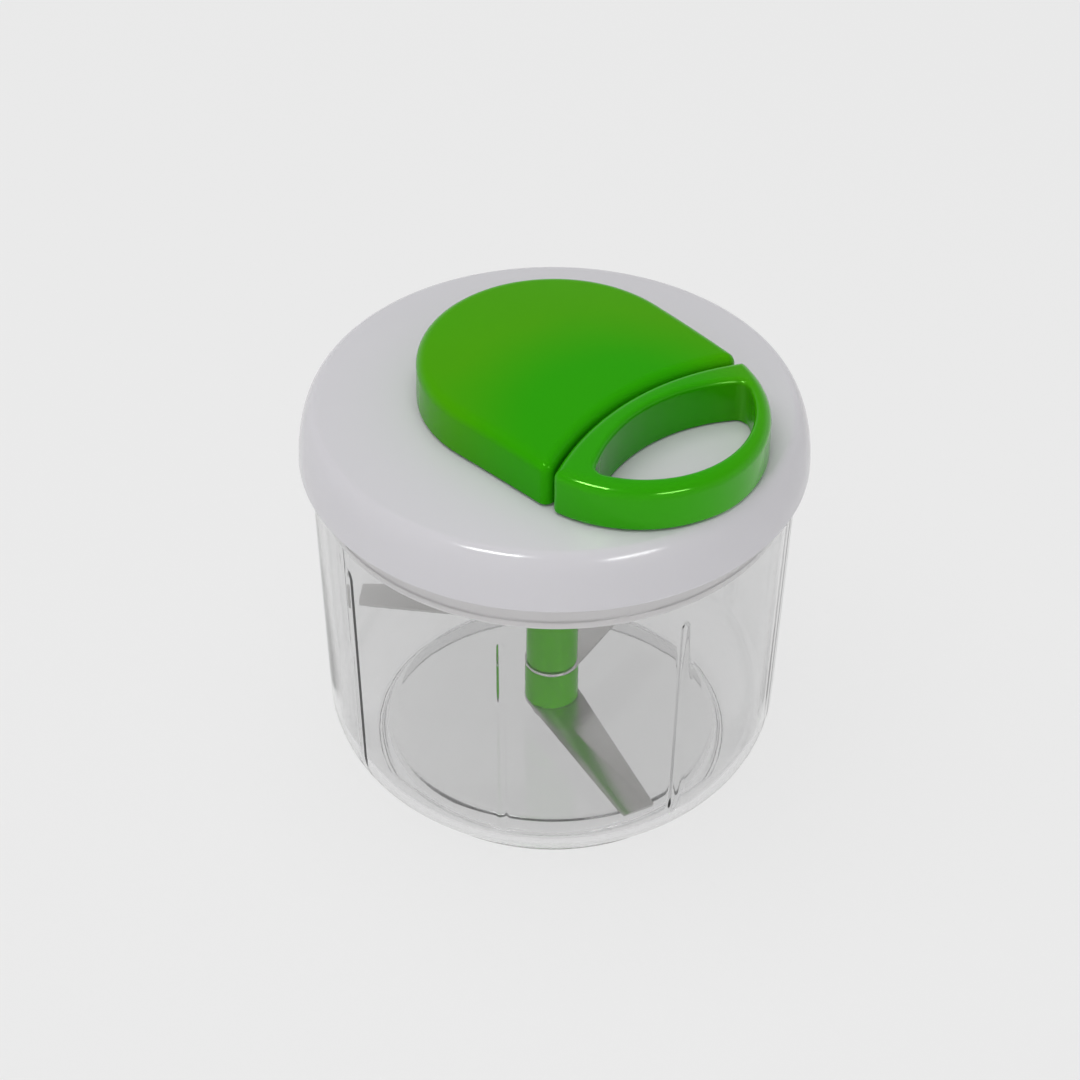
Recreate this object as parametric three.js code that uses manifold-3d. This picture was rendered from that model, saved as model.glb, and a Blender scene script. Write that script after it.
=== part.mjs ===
// Food chopper worked by a pull cord.
// A clear bowl stands on the table and carries a steel pin. A stacked hub with
// three blades turns on that pin. The white lid plugs into the bowl and carries
// a green housing with a cord reel in it. Pulling the green ring handle along
// +X unwinds the cord, and the reel turns the hub through a one-way clutch.
// Units are millimetres. +Z is up, the origin is on the table under the middle
// of the bowl, and the handle is pulled along +X.

import * as THREE from 'three';
import { mergeVertices } from 'three/addons/utils/BufferGeometryUtils.js';
import Module from 'manifold-3d';

const wasm = await Module();
wasm.setup();

// General clearances
const seatGap = 0.3;            // between a piece and what it sits on or in
const cutOverrun = 1;           // how far a cutting tool runs past a face
const weld = 0.4;               // how far joined shapes sink into each other

// Bowl
const bowlHeight = 99.5;        // table to the rim
const bowlRimRadius = 61.4;     // outside, at the rim
const bowlTaper = 3.1;          // the wall draws in by this to the rounded corner
const bowlCornerRadius = 22;    // outside, wall to base
const bowlWall = 2.2;
const footInset = 10.3;         // foot ring, in from the wall above the corner
const footWidth = 2.6;
const footHeight = 6.5;         // table to the underside of the floor
const floorThickness = 2.6;
const floorInset = 0.9;         // the raised middle of the floor, in from the foot ring
const ribCount = 8;
const ribWidth = 3.3;
const ribDepth = 1.6;
const ribBottomZ = 16;
const ribTopDrop = 18;          // below the rim
const ribPhase = -11.9;         // degrees, first rib from the pull direction
const bossRadius = 5;
const bossHeight = 3.3;         // above the floor

// Pin in the bowl floor
const pinRadius = 2;
const pinLength = 40;
const pinSocketDepth = 4;

// Hub and blades
const hubRadius = 7.1;
const upperHubRadius = 6.8;
const sleeveWall = 0.86;        // at the corners of the square bar through the sleeves
const spindleFlange = 0.7;      // thickness of its bottom flange
const spindleLength = 50;
const bladeThickness = 0.8;
const bladeRootLip = 0.1;       // root past the hub
const bladeTipWidth = 8.8;
const bladeGap = 0.75;          // tip to the bowl
const bladeTipSlant = 3.2;      // how far the cutting corner runs past the other
const bladeBevel = 1.9;         // width of the ground edge
const groundShare = 0.4;        // of the thickness, taken off at that edge
const lowerBladeAngle = -18.4;  // degrees from the pull direction
const bladeSpread = 120;        // degrees between blades
const lowerSleeveLength = 11.2;
const middleSleeveLength = 17.3;
const hubDrop = 11.5;           // rim to where the hex drive end starts
const hexAcross = 9;
const hexLength = 9.5;

// Lid
const lidWall = 2.2;
const skirtGap = 0.4;           // skirt to rim
const lidHeight = 15;           // skirt edge to the shoulder
const skirtOverlap = 5.1;       // how far the skirt hangs below the bowl rim
const shoulderInset = 5.2;
const domeRise = 2.3;
const plateThickness = 2;       // the inner cover that closes the lid
const collarLength = 15.2;      // the plug below that cover
const collarWall = 2.2;
const collarGap = 0.55;         // plug to bowl
const sealHeight = 2.4;
const sealDepth = 1.5;
const sealStep = 4;             // seal groove below the cover
const lidBossRadius = 3.4;
const lidBossInset = 11.3;      // from the bowl's wall to the screws
const plateScrewTurns = [60, 180, 300];         // degrees from the pull direction

// Green housing
const greenSag = 1.2;           // fall of its top from the middle to the rear edge
const cornerY = 33;
const seamSag = 7.3;            // how far the handle's back bulges to the housing
const seamGap = 0.8;
const housingWall = 2;
const greenEdge = 2.2;          // rounding of the top edges
const postRadius = 4.2;
const postLength = 4.6;
const housingBossRadius = 3;
const bossSideGap = 5.1;        // reel to the screw bosses
const bossMargin = 1.8;         // bosses to the wall behind them
const housingScrewTurns = [35, 145, 215, 325];  // degrees from the pull direction

// Pull handle
const tipInset = 3.9;           // tip to the lid's edge
const handleBand = 6.8;
const handleBar = 5.4;
const handleCorner = 1.8;       // corner rounding of its outline
const openingCorner = 3.6;
const leastCornerShare = 0.05;  // of handleCorner, kept where a corner is drawn in
const pocketShare = 0.34;       // of the bar's depth, left in front of the knot's pocket

// Cord
const cordRadius = 1.2;
const cordPlay = 0.45;          // round the cord, and at the pawls' noses
const leaveShares = [0, 0.35, 0.68];            // along the run from the reel to the eyelet
const knotRadius = 2.1;
const knotLength = 1.6;

// Reel and clutch
const flangeLip = 0.8;          // flange past the cord
const drumWall = 1.4;
const windingDepth = 2.1;
const flangeThickness = 1.2;
const grooveHeight = 4.6;
const webThickness = 1.2;
const reelFloorGap = 1.1;       // reel above the top of the lid
const reelHeadroom = 2.1;       // reel to the housing's ceiling
const reelSideGap = 3;          // reel to the wall that the cord goes through
const springHeight = 2.8;
const springStrip = 0.35;
const springTurns = 5;
const axleRadius = 2;
const ratchetRadius = 7.6;
const ratchetTeeth = 8;
const toothDepth = 1.3;
const toothShare = 0.9;         // part of a tooth's pitch that ramps down
const ratchetHeight = 2.2;
const pawlWidth = 2.6;
const pawlTipGap = 1.6;         // pawl's eye to the ratchet teeth
const pawlPivotRadius = 0.9;
const noseShare = 0.8;          // half width of the nose, of the eye's radius
const socketRadius = 9;
const socketWall = 2.6;
const shaftRadius = 4.6;
const washerThickness = 0.5;

// Small screws
const screwRadius = 1.1;
const screwHeadRadius = 2.3;
const screwHeadHeight = 1.3;
const screwLength = 6.5;
const screwCrownShare = 0.7;    // flat top of the head, of its radius

// How finely round shapes are cut into flats
const bowlSides = 60;
const smallSides = 16;
const tinySides = 12;
const cordSides = 8;
const cordSteps = 12;
const arcSteps = 6;
const cornerSteps = 3;

// Rings that round shapes pass on their way in, as shares of a radius or an edge
const domeShares = [0.75, 0.5, 0.25];
const crownShares = [0.66, 0.33];
const edgeShares = [[0, 1], [0.3, 0.3], [1, 0]];  // in and down over a rounded edge

// Heights and radii that follow from the sizes above
const bowlWaistRadius = bowlRimRadius - bowlTaper;
const footOuterRadius = bowlWaistRadius - footInset;
const footInnerRadius = footOuterRadius - footWidth;
const floorRadius = footInnerRadius - floorInset;
const floorTopZ = footHeight + floorThickness;
const bossTopZ = floorTopZ + bossHeight;
const ribTopZ = bowlHeight - ribTopDrop;
const cornerCentreR = bowlWaistRadius - bowlCornerRadius;
const innerCorner = bowlCornerRadius - bowlWall;
const lidRadius = bowlRimRadius + skirtGap + lidWall;
const skirtZ = bowlHeight - skirtOverlap;
const shoulderR = lidRadius - shoulderInset;
const shoulderZ = skirtZ + lidHeight;
const lidTopZ = shoulderZ + domeRise;
const plateZ = bowlHeight + seatGap;
const lidBossCircle = bowlWaistRadius - lidBossInset;
const hubStackTop = bowlHeight - hubDrop;
const spindleAcross = Math.SQRT2 * (upperHubRadius - sleeveWall);

// The reel from its pawls outwards, and the housing round it
const pawlCircle = ratchetRadius + pawlTipGap + pawlWidth / 2;
const springOuter = pawlCircle + pawlWidth / 2 + seatGap;
const drumRadius = springOuter + drumWall;
const windingOuter = drumRadius + seatGap + windingDepth;
const layRadius = windingOuter + seatGap + cordRadius;
const reelRadius = layRadius + cordRadius + flangeLip;
const drumZ = lidTopZ + reelFloorGap;
const grooveZ0 = drumZ + flangeThickness;
const grooveZ1 = grooveZ0 + grooveHeight;
const cordZ = (grooveZ0 + grooveZ1) / 2;
const webZ0 = grooveZ0 + ratchetHeight + seatGap;
const webZ1 = webZ0 + webThickness;
const reelTopZ = webZ1 + springHeight + 2 * seatGap;
const ceilingZ = reelTopZ + reelHeadroom;
const greenTopZ = ceilingZ + housingWall;
const housingBossCircle = reelRadius + bossSideGap + housingBossRadius;
const rearRadius = housingBossCircle + housingBossRadius + bossMargin + housingWall;
const cornerX = reelRadius + reelSideGap + housingWall + seamGap / 2 + seamSag;
const handleReach = lidRadius - tipInset - cornerX;
const seamRadius = (cornerY ** 2 + seamSag ** 2) / (2 * seamSag);
const seamCentreX = cornerX - seamSag + seamRadius;
const handleArc = (cornerY ** 2 + handleReach ** 2) / (2 * handleReach);
const handleCentreX = cornerX + handleReach - handleArc;
const sideTurn = Math.atan2(cornerY, cornerX) + Math.acos(rearRadius / Math.hypot(cornerX, cornerY));

const radians = THREE.MathUtils.degToRad;

// Bowl outside radius at a height on its straight wall
const bowlOuter = (z) => (
  THREE.MathUtils.mapLinear(z, bowlCornerRadius, bowlHeight, bowlWaistRadius, bowlRimRadius));

// Bowl inside radius at a height, without the ribs
const bowlInner = (z) => (z > bowlCornerRadius ? bowlOuter(z) - bowlWall
  : cornerCentreR + Math.sqrt(innerCorner ** 2 - (bowlCornerRadius - z) ** 2));

// Height of the lid's top surface at a radius
function lidSurface(r, drop = 0) {
  if (r <= shoulderR) return shoulderZ - drop + domeRise * (1 - (r / shoulderR) ** 2);
  const across = Math.min(1, (r - shoulderR) / (shoulderInset - drop));
  return skirtZ + (lidHeight - drop) * Math.sqrt(1 - across ** 2);
}

// Height of the green parts' top surface
const greenSurface = (x, y, drop) => greenTopZ - drop - greenSag * (x * x + y * y) / rearRadius ** 2;

// A closed mesh with merged corners, no empty triangles and faces pointing out
function closed(geometry) {
  const bare = geometry.clone();
  for (const name of Object.keys(bare.attributes)) {
    if (name !== 'position') bare.deleteAttribute(name);
  }
  const merged = mergeVertices(bare, seatGap / 1000);
  const p = merged.attributes.position;
  const kept = [];
  let volume = 0;
  const [a, b, c] = [new THREE.Vector3(), new THREE.Vector3(), new THREE.Vector3()];
  for (let i = 0; i < merged.index.count; i += 3) {
    const tri = [0, 1, 2].map((k) => merged.index.getX(i + k));
    if (new Set(tri).size < 3) continue;
    kept.push(tri);
    [a, b, c].forEach((v, k) => v.fromBufferAttribute(p, tri[k]));
    volume += a.dot(b.cross(c));
  }
  merged.setIndex(kept.flatMap((tri) => (volume < 0 ? [tri[0], tri[2], tri[1]] : tri)));
  return merged;
}

function solidOf(geometry) {
  const mesh = closed(geometry);
  return new wasm.Manifold(new wasm.Mesh({
    numProp: 3,
    vertProperties: Float32Array.from(mesh.attributes.position.array),
    triVerts: Uint32Array.from(mesh.index.array),
  }));
}

function geometryOf(solid) {
  const mesh = solid.getMesh();
  const geometry = new THREE.BufferGeometry();
  geometry.setAttribute('position', new THREE.BufferAttribute(mesh.vertProperties, mesh.numProp));
  geometry.setIndex(new THREE.BufferAttribute(mesh.triVerts, 1));
  return geometry;
}

const cut = (body, ...tools) => geometryOf(tools.reduce((s, t) => s.subtract(solidOf(t)), solidOf(body)));
const join = (body, ...more) => geometryOf(more.reduce((s, t) => s.add(solidOf(t)), solidOf(body)));

// A profile of [radius, height] points turned round the Z axis
function turned(profile, sides = smallSides) {
  const points = profile.map(([r, z]) => new THREE.Vector2(r, z));
  if (profile[0][0] !== 0 || profile.at(-1)[0] !== 0) points.push(points[0].clone());
  return closed(new THREE.LatheGeometry(points, sides).rotateX(Math.PI / 2));
}

const disc = (r, z0, z1, sides = smallSides) => turned([[0, z0], [r, z0], [r, z1], [0, z1]], sides);
const ring = (r0, r1, z0, z1, sides = smallSides) => (
  turned([[r0, z0], [r1, z0], [r1, z1], [r0, z1]], sides));
const block = (x0, x1, y0, y1, z0, z1) => new THREE.BoxGeometry(x1 - x0, y1 - y0, z1 - z0)
  .translate((x0 + x1) / 2, (y0 + y1) / 2, (z0 + z1) / 2);

// A flat outline of [x, y] points raised from z0 to z1
function raised(outline, z0, z1, holes = []) {
  const shape = new THREE.Shape(outline.map(([x, y]) => new THREE.Vector2(x, y)));
  for (const hole of holes) shape.holes.push(new THREE.Path(hole.map(([x, y]) => new THREE.Vector2(x, y))));
  const body = new THREE.ExtrudeGeometry(shape, { depth: z1 - z0, bevelEnabled: false });
  return closed(body.translate(0, 0, z0));
}

// Points of an arc, both ends included
function arc(cx, cy, r, from, to, steps) {
  return Array.from({ length: steps + 1 }, (_, i) => {
    const t = from + (to - from) * i / steps;
    return [cx + r * Math.cos(t), cy + r * Math.sin(t)];
  });
}

// Skins rings of equal point counts. The last ring closes on the first, or
// both end rings close on a point in their middle.
function skinned(rings, wrap) {
  const n = rings[0].length;
  const points = rings.flat();
  const faces = [];
  const last = wrap ? rings.length : rings.length - 1;
  for (let j = 0; j < last; j += 1) {
    const k = (j + 1) % rings.length;
    for (let i = 0; i < n; i += 1) {
      const m = (i + 1) % n;
      faces.push(j * n + i, j * n + m, k * n + m, j * n + i, k * n + m, k * n + i);
    }
  }
  if (!wrap) {
    for (const [j, flip] of [[0, true], [rings.length - 1, false]]) {
      const middle = rings[j].reduce((s, p) => s.map((v, k) => v + p[k] / n), [0, 0, 0]);
      const pole = points.push(middle) - 1;
      for (let i = 0; i < n; i += 1) {
        const pair = [j * n + i, j * n + (i + 1) % n];
        faces.push(...(flip ? [pole, pair[1], pair[0]] : [pole, ...pair]));
      }
    }
  }
  const geometry = new THREE.BufferGeometry();
  geometry.setAttribute('position', new THREE.Float32BufferAttribute(points.flat(), 3));
  geometry.setIndex(faces);
  return closed(geometry);
}

// Plan outline of the housing, drawn in from its edge by inset
function housingOutline(inset) {
  const away = rearRadius - inset;
  const normal = [Math.cos(sideTurn), Math.sin(sideTurn)];
  const along = [Math.sin(sideTurn), -Math.cos(sideTurn)];
  const start = [normal[0] * away - seamCentreX, normal[1] * away];
  const reach = seamRadius + seamGap / 2 + inset;
  const half = start[0] * along[0] + start[1] * along[1];
  const t = -half - Math.sqrt(half ** 2 - (start[0] ** 2 + start[1] ** 2 - reach ** 2));
  const corner = [normal[0] * away + along[0] * t, normal[1] * away + along[1] * t];
  const turn = Math.asin(corner[1] / reach);
  const middle = [(normal[0] * away + corner[0]) / 2, (normal[1] * away + corner[1]) / 2];
  return [
    ...arc(0, 0, away, sideTurn, 2 * Math.PI - sideTurn, 4 * arcSteps),
    [middle[0], -middle[1]],
    ...arc(seamCentreX, 0, reach, Math.PI + turn, Math.PI - turn, arcSteps + 2),
    middle,
  ];
}

// Outline between two arcs that face each other, with rounded corners
function lensOutline(outerR, innerR, cornerR) {
  const corner = Math.max(cornerR, handleCorner * leastCornerShare);
  const [a, b] = [outerR - corner, innerR - corner];
  const span = seamCentreX - handleCentreX;
  const x = (a * a - b * b + span * span) / (2 * span);
  const y = Math.sqrt(a * a - x * x);
  const out = Math.atan2(y, x);
  const back = Math.atan2(y, span - x);
  const cx = handleCentreX + x;
  return [
    ...arc(handleCentreX, 0, outerR, -out, out, 2 * arcSteps),
    ...arc(cx, y, corner, out, Math.PI - back, cornerSteps).slice(1),
    ...arc(seamCentreX, 0, innerR, Math.PI - back, Math.PI + back, arcSteps).slice(1),
    ...arc(cx, -y, corner, Math.PI + back, 2 * Math.PI - out, cornerSteps).slice(1, -1),
  ];
}

const handleOutline = (inset) => (
  lensOutline(handleArc - inset, seamRadius - seamGap / 2 - inset, handleCorner - inset));
const openingOutline = (outset) => lensOutline(
  handleArc - handleBand + outset,
  seamRadius - seamGap / 2 - handleBar + outset,
  openingCorner + outset,
);

const shrunk = (outline, share) => outline.map(([x, y]) => [x * share, y * share]);
const onTop = (outline, drop) => outline.map(([x, y]) => [x, y, greenSurface(x, y, drop)]);
const onLid = (outline, lift) => outline.map(([x, y]) => [x, y, lidSurface(Math.hypot(x, y)) + lift]);

function makeBowl() {
  const footTurn = (r) => Math.acos((footOuterRadius - cornerCentreR) / r);
  const outerArc = arc(
    cornerCentreR, bowlCornerRadius, bowlCornerRadius, -footTurn(bowlCornerRadius), 0, arcSteps,
  );
  const innerArc = arc(cornerCentreR, bowlCornerRadius, innerCorner, -footTurn(innerCorner), 0, arcSteps);
  const troughZ = innerArc[0][1] - bowlWall / 2;
  const profile = [
    [0, footHeight], [footInnerRadius - bowlWall, footHeight],
    [footInnerRadius, 0], [footOuterRadius - bowlWall / 3, 0], [footOuterRadius, bowlWall / 3],
    ...outerArc,
    [bowlRimRadius, bowlHeight - bowlWall / 3], [bowlRimRadius - bowlWall / 3, bowlHeight],
    [bowlRimRadius - 2 * bowlWall / 3, bowlHeight], [bowlRimRadius - bowlWall, bowlHeight - bowlWall / 3],
    ...innerArc.reverse(),
    [footInnerRadius + bowlWall / 2, troughZ],
    [floorRadius, floorTopZ - bowlWall / 4], [floorRadius - bowlWall / 4, floorTopZ],
    [bossRadius, floorTopZ], [bossRadius - bowlWall / 4, bossTopZ], [0, bossTopZ],
  ];
  const ribSide = [
    [bowlInner(ribBottomZ) + weld, ribBottomZ], [bowlInner(bowlCornerRadius) + weld, bowlCornerRadius],
    [bowlInner(ribTopZ) + weld, ribTopZ],
    [bowlInner(ribTopZ) - ribDepth / 2, ribTopZ - ribDepth / 4],
    [bowlInner(ribTopZ) - ribDepth, ribTopZ - ribDepth],
    [bowlInner(bowlCornerRadius) - ribDepth, bowlCornerRadius],
    [bowlInner(ribBottomZ + ribDepth) - ribDepth, ribBottomZ + ribDepth],
  ];
  const rib = raised(ribSide, -ribWidth / 2, ribWidth / 2).rotateX(Math.PI / 2);
  const ribs = Array.from({ length: ribCount }, (_, i) => (
    rib.clone().rotateZ(radians(ribPhase + i * 360 / ribCount))));
  const hole = disc(pinRadius + seatGap, bossTopZ - pinSocketDepth - seatGap, bossTopZ + cutOverrun);
  return cut(join(turned(profile, bowlSides), ...ribs), hole);
}

function makePin() {
  const base = bossTopZ - pinSocketDepth;
  const tip = base + pinLength;
  const crown = arc(0, tip - pinRadius, pinRadius, 0, Math.PI / 2, cornerSteps);
  return turned([[0, base], [pinRadius, base], ...crown]);
}

// Heights of the hub stack, from the boss up
const spindleZ = bossTopZ + seatGap;
const lowerBladeZ = spindleZ + spindleFlange + seatGap / 2;
const lowerSleeveZ = lowerBladeZ + bladeThickness + seatGap / 2;
const middleBladeZ = lowerSleeveZ + lowerSleeveLength + seatGap / 2;
const middleSleeveZ = middleBladeZ + bladeThickness + seatGap / 2;
const upperBladeZ = middleSleeveZ + middleSleeveLength + seatGap / 2;
const upperSleeveZ = upperBladeZ + bladeThickness + seatGap / 2;
const spindleTopZ = spindleZ + spindleLength;

// Round outline of a square or hexagon by its width across flats
const flats = (across, sides) => arc(0, 0, across / 2 / Math.cos(Math.PI / sides),
  Math.PI / sides, Math.PI / sides + 2 * Math.PI * (1 - 1 / sides), sides - 1);

function makeSpindle() {
  const bar = raised(flats(spindleAcross, 4), spindleZ, spindleTopZ);
  const flange = disc(hubRadius - seatGap, spindleZ, spindleZ + spindleFlange);
  const pinTipZ = bossTopZ - pinSocketDepth + pinLength;
  const bore = disc(pinRadius + seatGap, spindleZ - cutOverrun, pinTipZ + cutOverrun);
  return cut(join(bar, flange), bore);
}

function makeSleeve(z0, length, radius) {
  const square = raised(flats(spindleAcross + seatGap, 4), z0 - cutOverrun, z0 + length + cutOverrun);
  return cut(disc(radius, z0, z0 + length), square);
}

function makeUpperSleeve() {
  const body = disc(upperHubRadius, upperSleeveZ, hubStackTop);
  const hex = raised(flats(hexAcross, 6), hubStackTop - weld, hubStackTop + hexLength);
  const square = raised(flats(spindleAcross + seatGap, 4), upperSleeveZ - cutOverrun, spindleTopZ + seatGap);
  const relief = disc(screwRadius, spindleTopZ, hubStackTop + hexLength + cutOverrun);
  return cut(join(body, hex), square, relief);
}

// All three blades are alike, so the tightest place in the bowl sets their length
const bladeFit = Math.min(bowlInner(lowerBladeZ), bowlInner(middleBladeZ) - ribDepth);
const bladeRoom = bladeFit * Math.cos(Math.PI / bowlSides);
const bladeLength = Math.sqrt((bladeRoom - bladeGap) ** 2 - (bladeTipWidth / 2) ** 2);

// One blade: round root on the hub, tapered to a slanted tip, one edge ground
function makeBlade(z, degrees) {
  const root = hubRadius + bladeRootLip;
  const tip = bladeTipWidth / 2;
  const turn = Math.acos((root - tip) / bladeLength);
  const outline = [
    [bladeLength - bladeTipSlant, tip], ...arc(0, 0, root, turn, 2 * Math.PI - turn, 2 * arcSteps),
    [bladeLength, -tip],
  ];
  const edge = [
    [root, -root - cutOverrun], [bladeLength + cutOverrun, -tip - cutOverrun],
    [bladeLength + cutOverrun, -tip + bladeBevel / 2], [root, -root + bladeBevel],
  ];
  const ground = raised(edge, 0, bladeThickness).translate(0, 0, z + bladeThickness * (1 - groundShare));
  const square = raised(flats(spindleAcross + seatGap, 4), z - cutOverrun, z + bladeThickness + cutOverrun);
  return cut(cut(raised(outline, z, z + bladeThickness), ground).rotateZ(radians(degrees)), square);
}

// Profile of the lid shell from the skirt over the top, outside or inside
function lidLine(drop) {
  const side = arc(0, 0, 1, 0, Math.PI / 2, arcSteps)
    .map(([c, s]) => [shoulderR + (shoulderInset - drop) * c, skirtZ + (lidHeight - drop) * s]);
  const top = domeShares.map((share) => [shoulderR * share, lidSurface(shoulderR * share, drop)]);
  return [...side, ...top];
}

const around = (turns, r, make) => (
  turns.map((a) => make(r * Math.cos(radians(a)), r * Math.sin(radians(a)))));

function makeLidShell() {
  const hole = shaftRadius + seatGap;
  const outside = lidLine(0);
  const inside = lidLine(lidWall).reverse();
  const shell = turned([
    ...outside, [hole, lidSurface(hole)], [hole, lidSurface(hole, lidWall)], ...inside,
  ], bowlSides);
  const bossFootZ = plateZ + plateThickness + seatGap;
  const bosses = around(plateScrewTurns, lidBossCircle, (x, y) => (
    disc(lidBossRadius, bossFootZ, lidSurface(lidBossCircle, lidWall) + weld).translate(x, y, 0)));
  const pilots = around(plateScrewTurns, lidBossCircle, (x, y) => (
    disc(screwRadius + seatGap, plateZ, lidSurface(lidBossCircle, 2 * lidWall)).translate(x, y, 0)));
  const holes = around(housingScrewTurns, housingBossCircle, (x, y) => (
    disc(screwRadius + seatGap, plateZ + plateThickness, lidTopZ + cutOverrun).translate(x, y, 0)));
  return cut(join(shell, ...bosses), ...pilots, ...holes);
}

// The inner cover: a plate over the bowl with a plug wall and a seal groove
function makeLidCover() {
  const inner = bowlOuter(plateZ - collarLength) - bowlWall - collarGap;
  const grooveZ = plateZ - sealStep;
  const neck = socketRadius + seatGap;
  const topR = lidRadius - lidWall - 2 * seatGap - plateThickness / 2;
  const profile = [
    [neck, plateZ - collarLength / 2], [neck + collarWall / 2, plateZ - collarLength / 2],
    [neck + collarWall, plateZ],
    [inner - collarWall, plateZ], [inner - collarWall, plateZ - collarLength],
    [inner, plateZ - collarLength],
    [inner, grooveZ - sealHeight - seatGap], [inner - sealDepth, grooveZ - sealHeight - seatGap],
    [inner - sealDepth, grooveZ + seatGap], [inner, grooveZ + seatGap],
    [inner, plateZ], [topR, plateZ], [topR, plateZ + plateThickness], [neck, plateZ + plateThickness],
  ];
  // the groove is backed inside the plug wall so that the wall stays whole
  const backing = ring(inner - collarWall - sealDepth, inner - collarWall + weld,
    grooveZ - sealHeight - collarWall, plateZ + weld, bowlSides);
  const plateTopZ = plateZ + plateThickness;
  const holes = around(plateScrewTurns, lidBossCircle, (x, y) => (
    disc(screwRadius + seatGap, plateZ - cutOverrun, plateTopZ + cutOverrun).translate(x, y, 0)));
  return cut(join(turned(profile, bowlSides), backing), ...holes);
}

function makeSeal() {
  const grooveZ = plateZ - sealStep;
  const inner = bowlOuter(plateZ - collarLength) - bowlWall - collarGap - sealDepth + seatGap;
  const outer = bowlOuter(grooveZ - sealHeight) - bowlWall - seatGap;
  return turned([
    [inner, grooveZ - sealHeight], [outer - seatGap, grooveZ - sealHeight],
    [outer, grooveZ - sealHeight / 2], [outer - seatGap, grooveZ], [inner, grooveZ],
  ], bowlSides);
}

function makeHousing() {
  const walls = edgeShares.map(([share, down]) => onTop(housingOutline(share * greenEdge), down * greenEdge));
  const crown = crownShares.map((share) => onTop(shrunk(housingOutline(greenEdge), share), 0));
  const outer = skinned([onLid(housingOutline(0), seatGap), ...walls, ...crown], false);
  const inside = housingOutline(housingWall);
  const hollow = skinned([
    inside.map(([x, y]) => [x, y, skirtZ]),
    onTop(inside, housingWall),
    ...crownShares.map((share) => onTop(shrunk(inside, share), housingWall)),
  ], false);
  const dome = turned([
    [0, skirtZ], [lidRadius, skirtZ], [shoulderR, shoulderZ + seatGap],
    ...domeShares.map((share) => [shoulderR * share, lidSurface(shoulderR * share) + seatGap]),
    [0, lidTopZ + seatGap],
  ], bowlSides);
  const post = disc(postRadius, ceilingZ - postLength, ceilingZ + housingWall / 2);
  const bosses = around(housingScrewTurns, housingBossCircle, (x, y) => (
    disc(housingBossRadius, lidTopZ, ceilingZ - weld / 2).translate(x, y, 0)));
  const pilots = around(housingScrewTurns, housingBossCircle, (x, y) => (
    disc(screwRadius + seatGap, lidTopZ - lidWall, lidTopZ + screwLength).translate(x, y, 0)));
  const axleHole = disc(axleRadius + seatGap / 2, ceilingZ - postLength - cutOverrun, ceilingZ - seatGap);
  const slotZ = ceilingZ - postLength - cutOverrun;
  const slot = block(0, postRadius + cutOverrun, -springStrip, springStrip, slotZ, ceilingZ - seatGap);
  const seamX = seamCentreX - seamRadius;
  const eye = disc(eyeletRadius + seatGap, seamX - 2 * housingWall, seamX + cutOverrun)
    .rotateY(Math.PI / 2).translate(0, 0, cordZ);
  return cut(join(cut(outer, hollow), post, ...bosses), dome, ...pilots, axleHole, slot, eye);
}

const eyeletRadius = cordRadius + cordPlay + housingWall / 2;
const wallBackX = seamCentreX - seamRadius - seamGap / 2 - housingWall;

// Bush in the housing's front wall that the cord runs through
function makeEyelet() {
  const bore = cordRadius + cordPlay;
  const x1 = wallBackX + housingWall;
  return turned([
    [bore + seatGap, wallBackX], [eyeletRadius, wallBackX], [eyeletRadius, x1], [bore, x1],
    [bore, wallBackX + seatGap],
  ]).rotateY(Math.PI / 2).translate(0, 0, cordZ);
}

const handleBackX = seamCentreX - seamRadius + seamGap / 2;
const pocketX0 = handleBackX + handleBar * pocketShare;
const pocketX1 = pocketX0 + knotLength + 2 * seatGap;
const pocketHalf = knotRadius + seatGap;

function makeHandle() {
  const rounded = (outlineAt) => (
    edgeShares.map(([share, down]) => onTop(outlineAt(share * greenEdge), down * greenEdge)));
  const outside = rounded(handleOutline);
  const inside = rounded(openingOutline);
  const rings = [
    onLid(handleOutline(0), seatGap), ...outside, ...inside.reverse(), onLid(openingOutline(0), seatGap),
  ];
  const pocket = block(pocketX0, pocketX1, -pocketHalf, pocketHalf, shoulderZ, cordZ + pocketHalf);
  const hole = disc(cordRadius + seatGap, handleBackX - cutOverrun, pocketX0 + weld).rotateY(Math.PI / 2)
    .translate(0, 0, cordZ);
  return cut(skinned(rings, true), pocket, hole);
}

function makeKnotCover() {
  const top = cordZ - pocketHalf - seatGap;
  return block(pocketX0 + seatGap, pocketX1 - seatGap, seatGap - pocketHalf, pocketHalf - seatGap,
    lidSurface(pocketX0) + seatGap, top);
}

function makeKnot() {
  const x0 = pocketX0 + seatGap;
  return turned([
    [0, x0], [knotRadius - seatGap, x0], [knotRadius, x0 + knotLength / 4],
    [knotRadius, x0 + 3 * knotLength / 4],
    [knotRadius - seatGap, x0 + knotLength], [0, x0 + knotLength],
  ]).rotateY(Math.PI / 2).translate(0, 0, cordZ);
}

const leaveTurn = Math.acos(layRadius / wallBackX);

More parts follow.
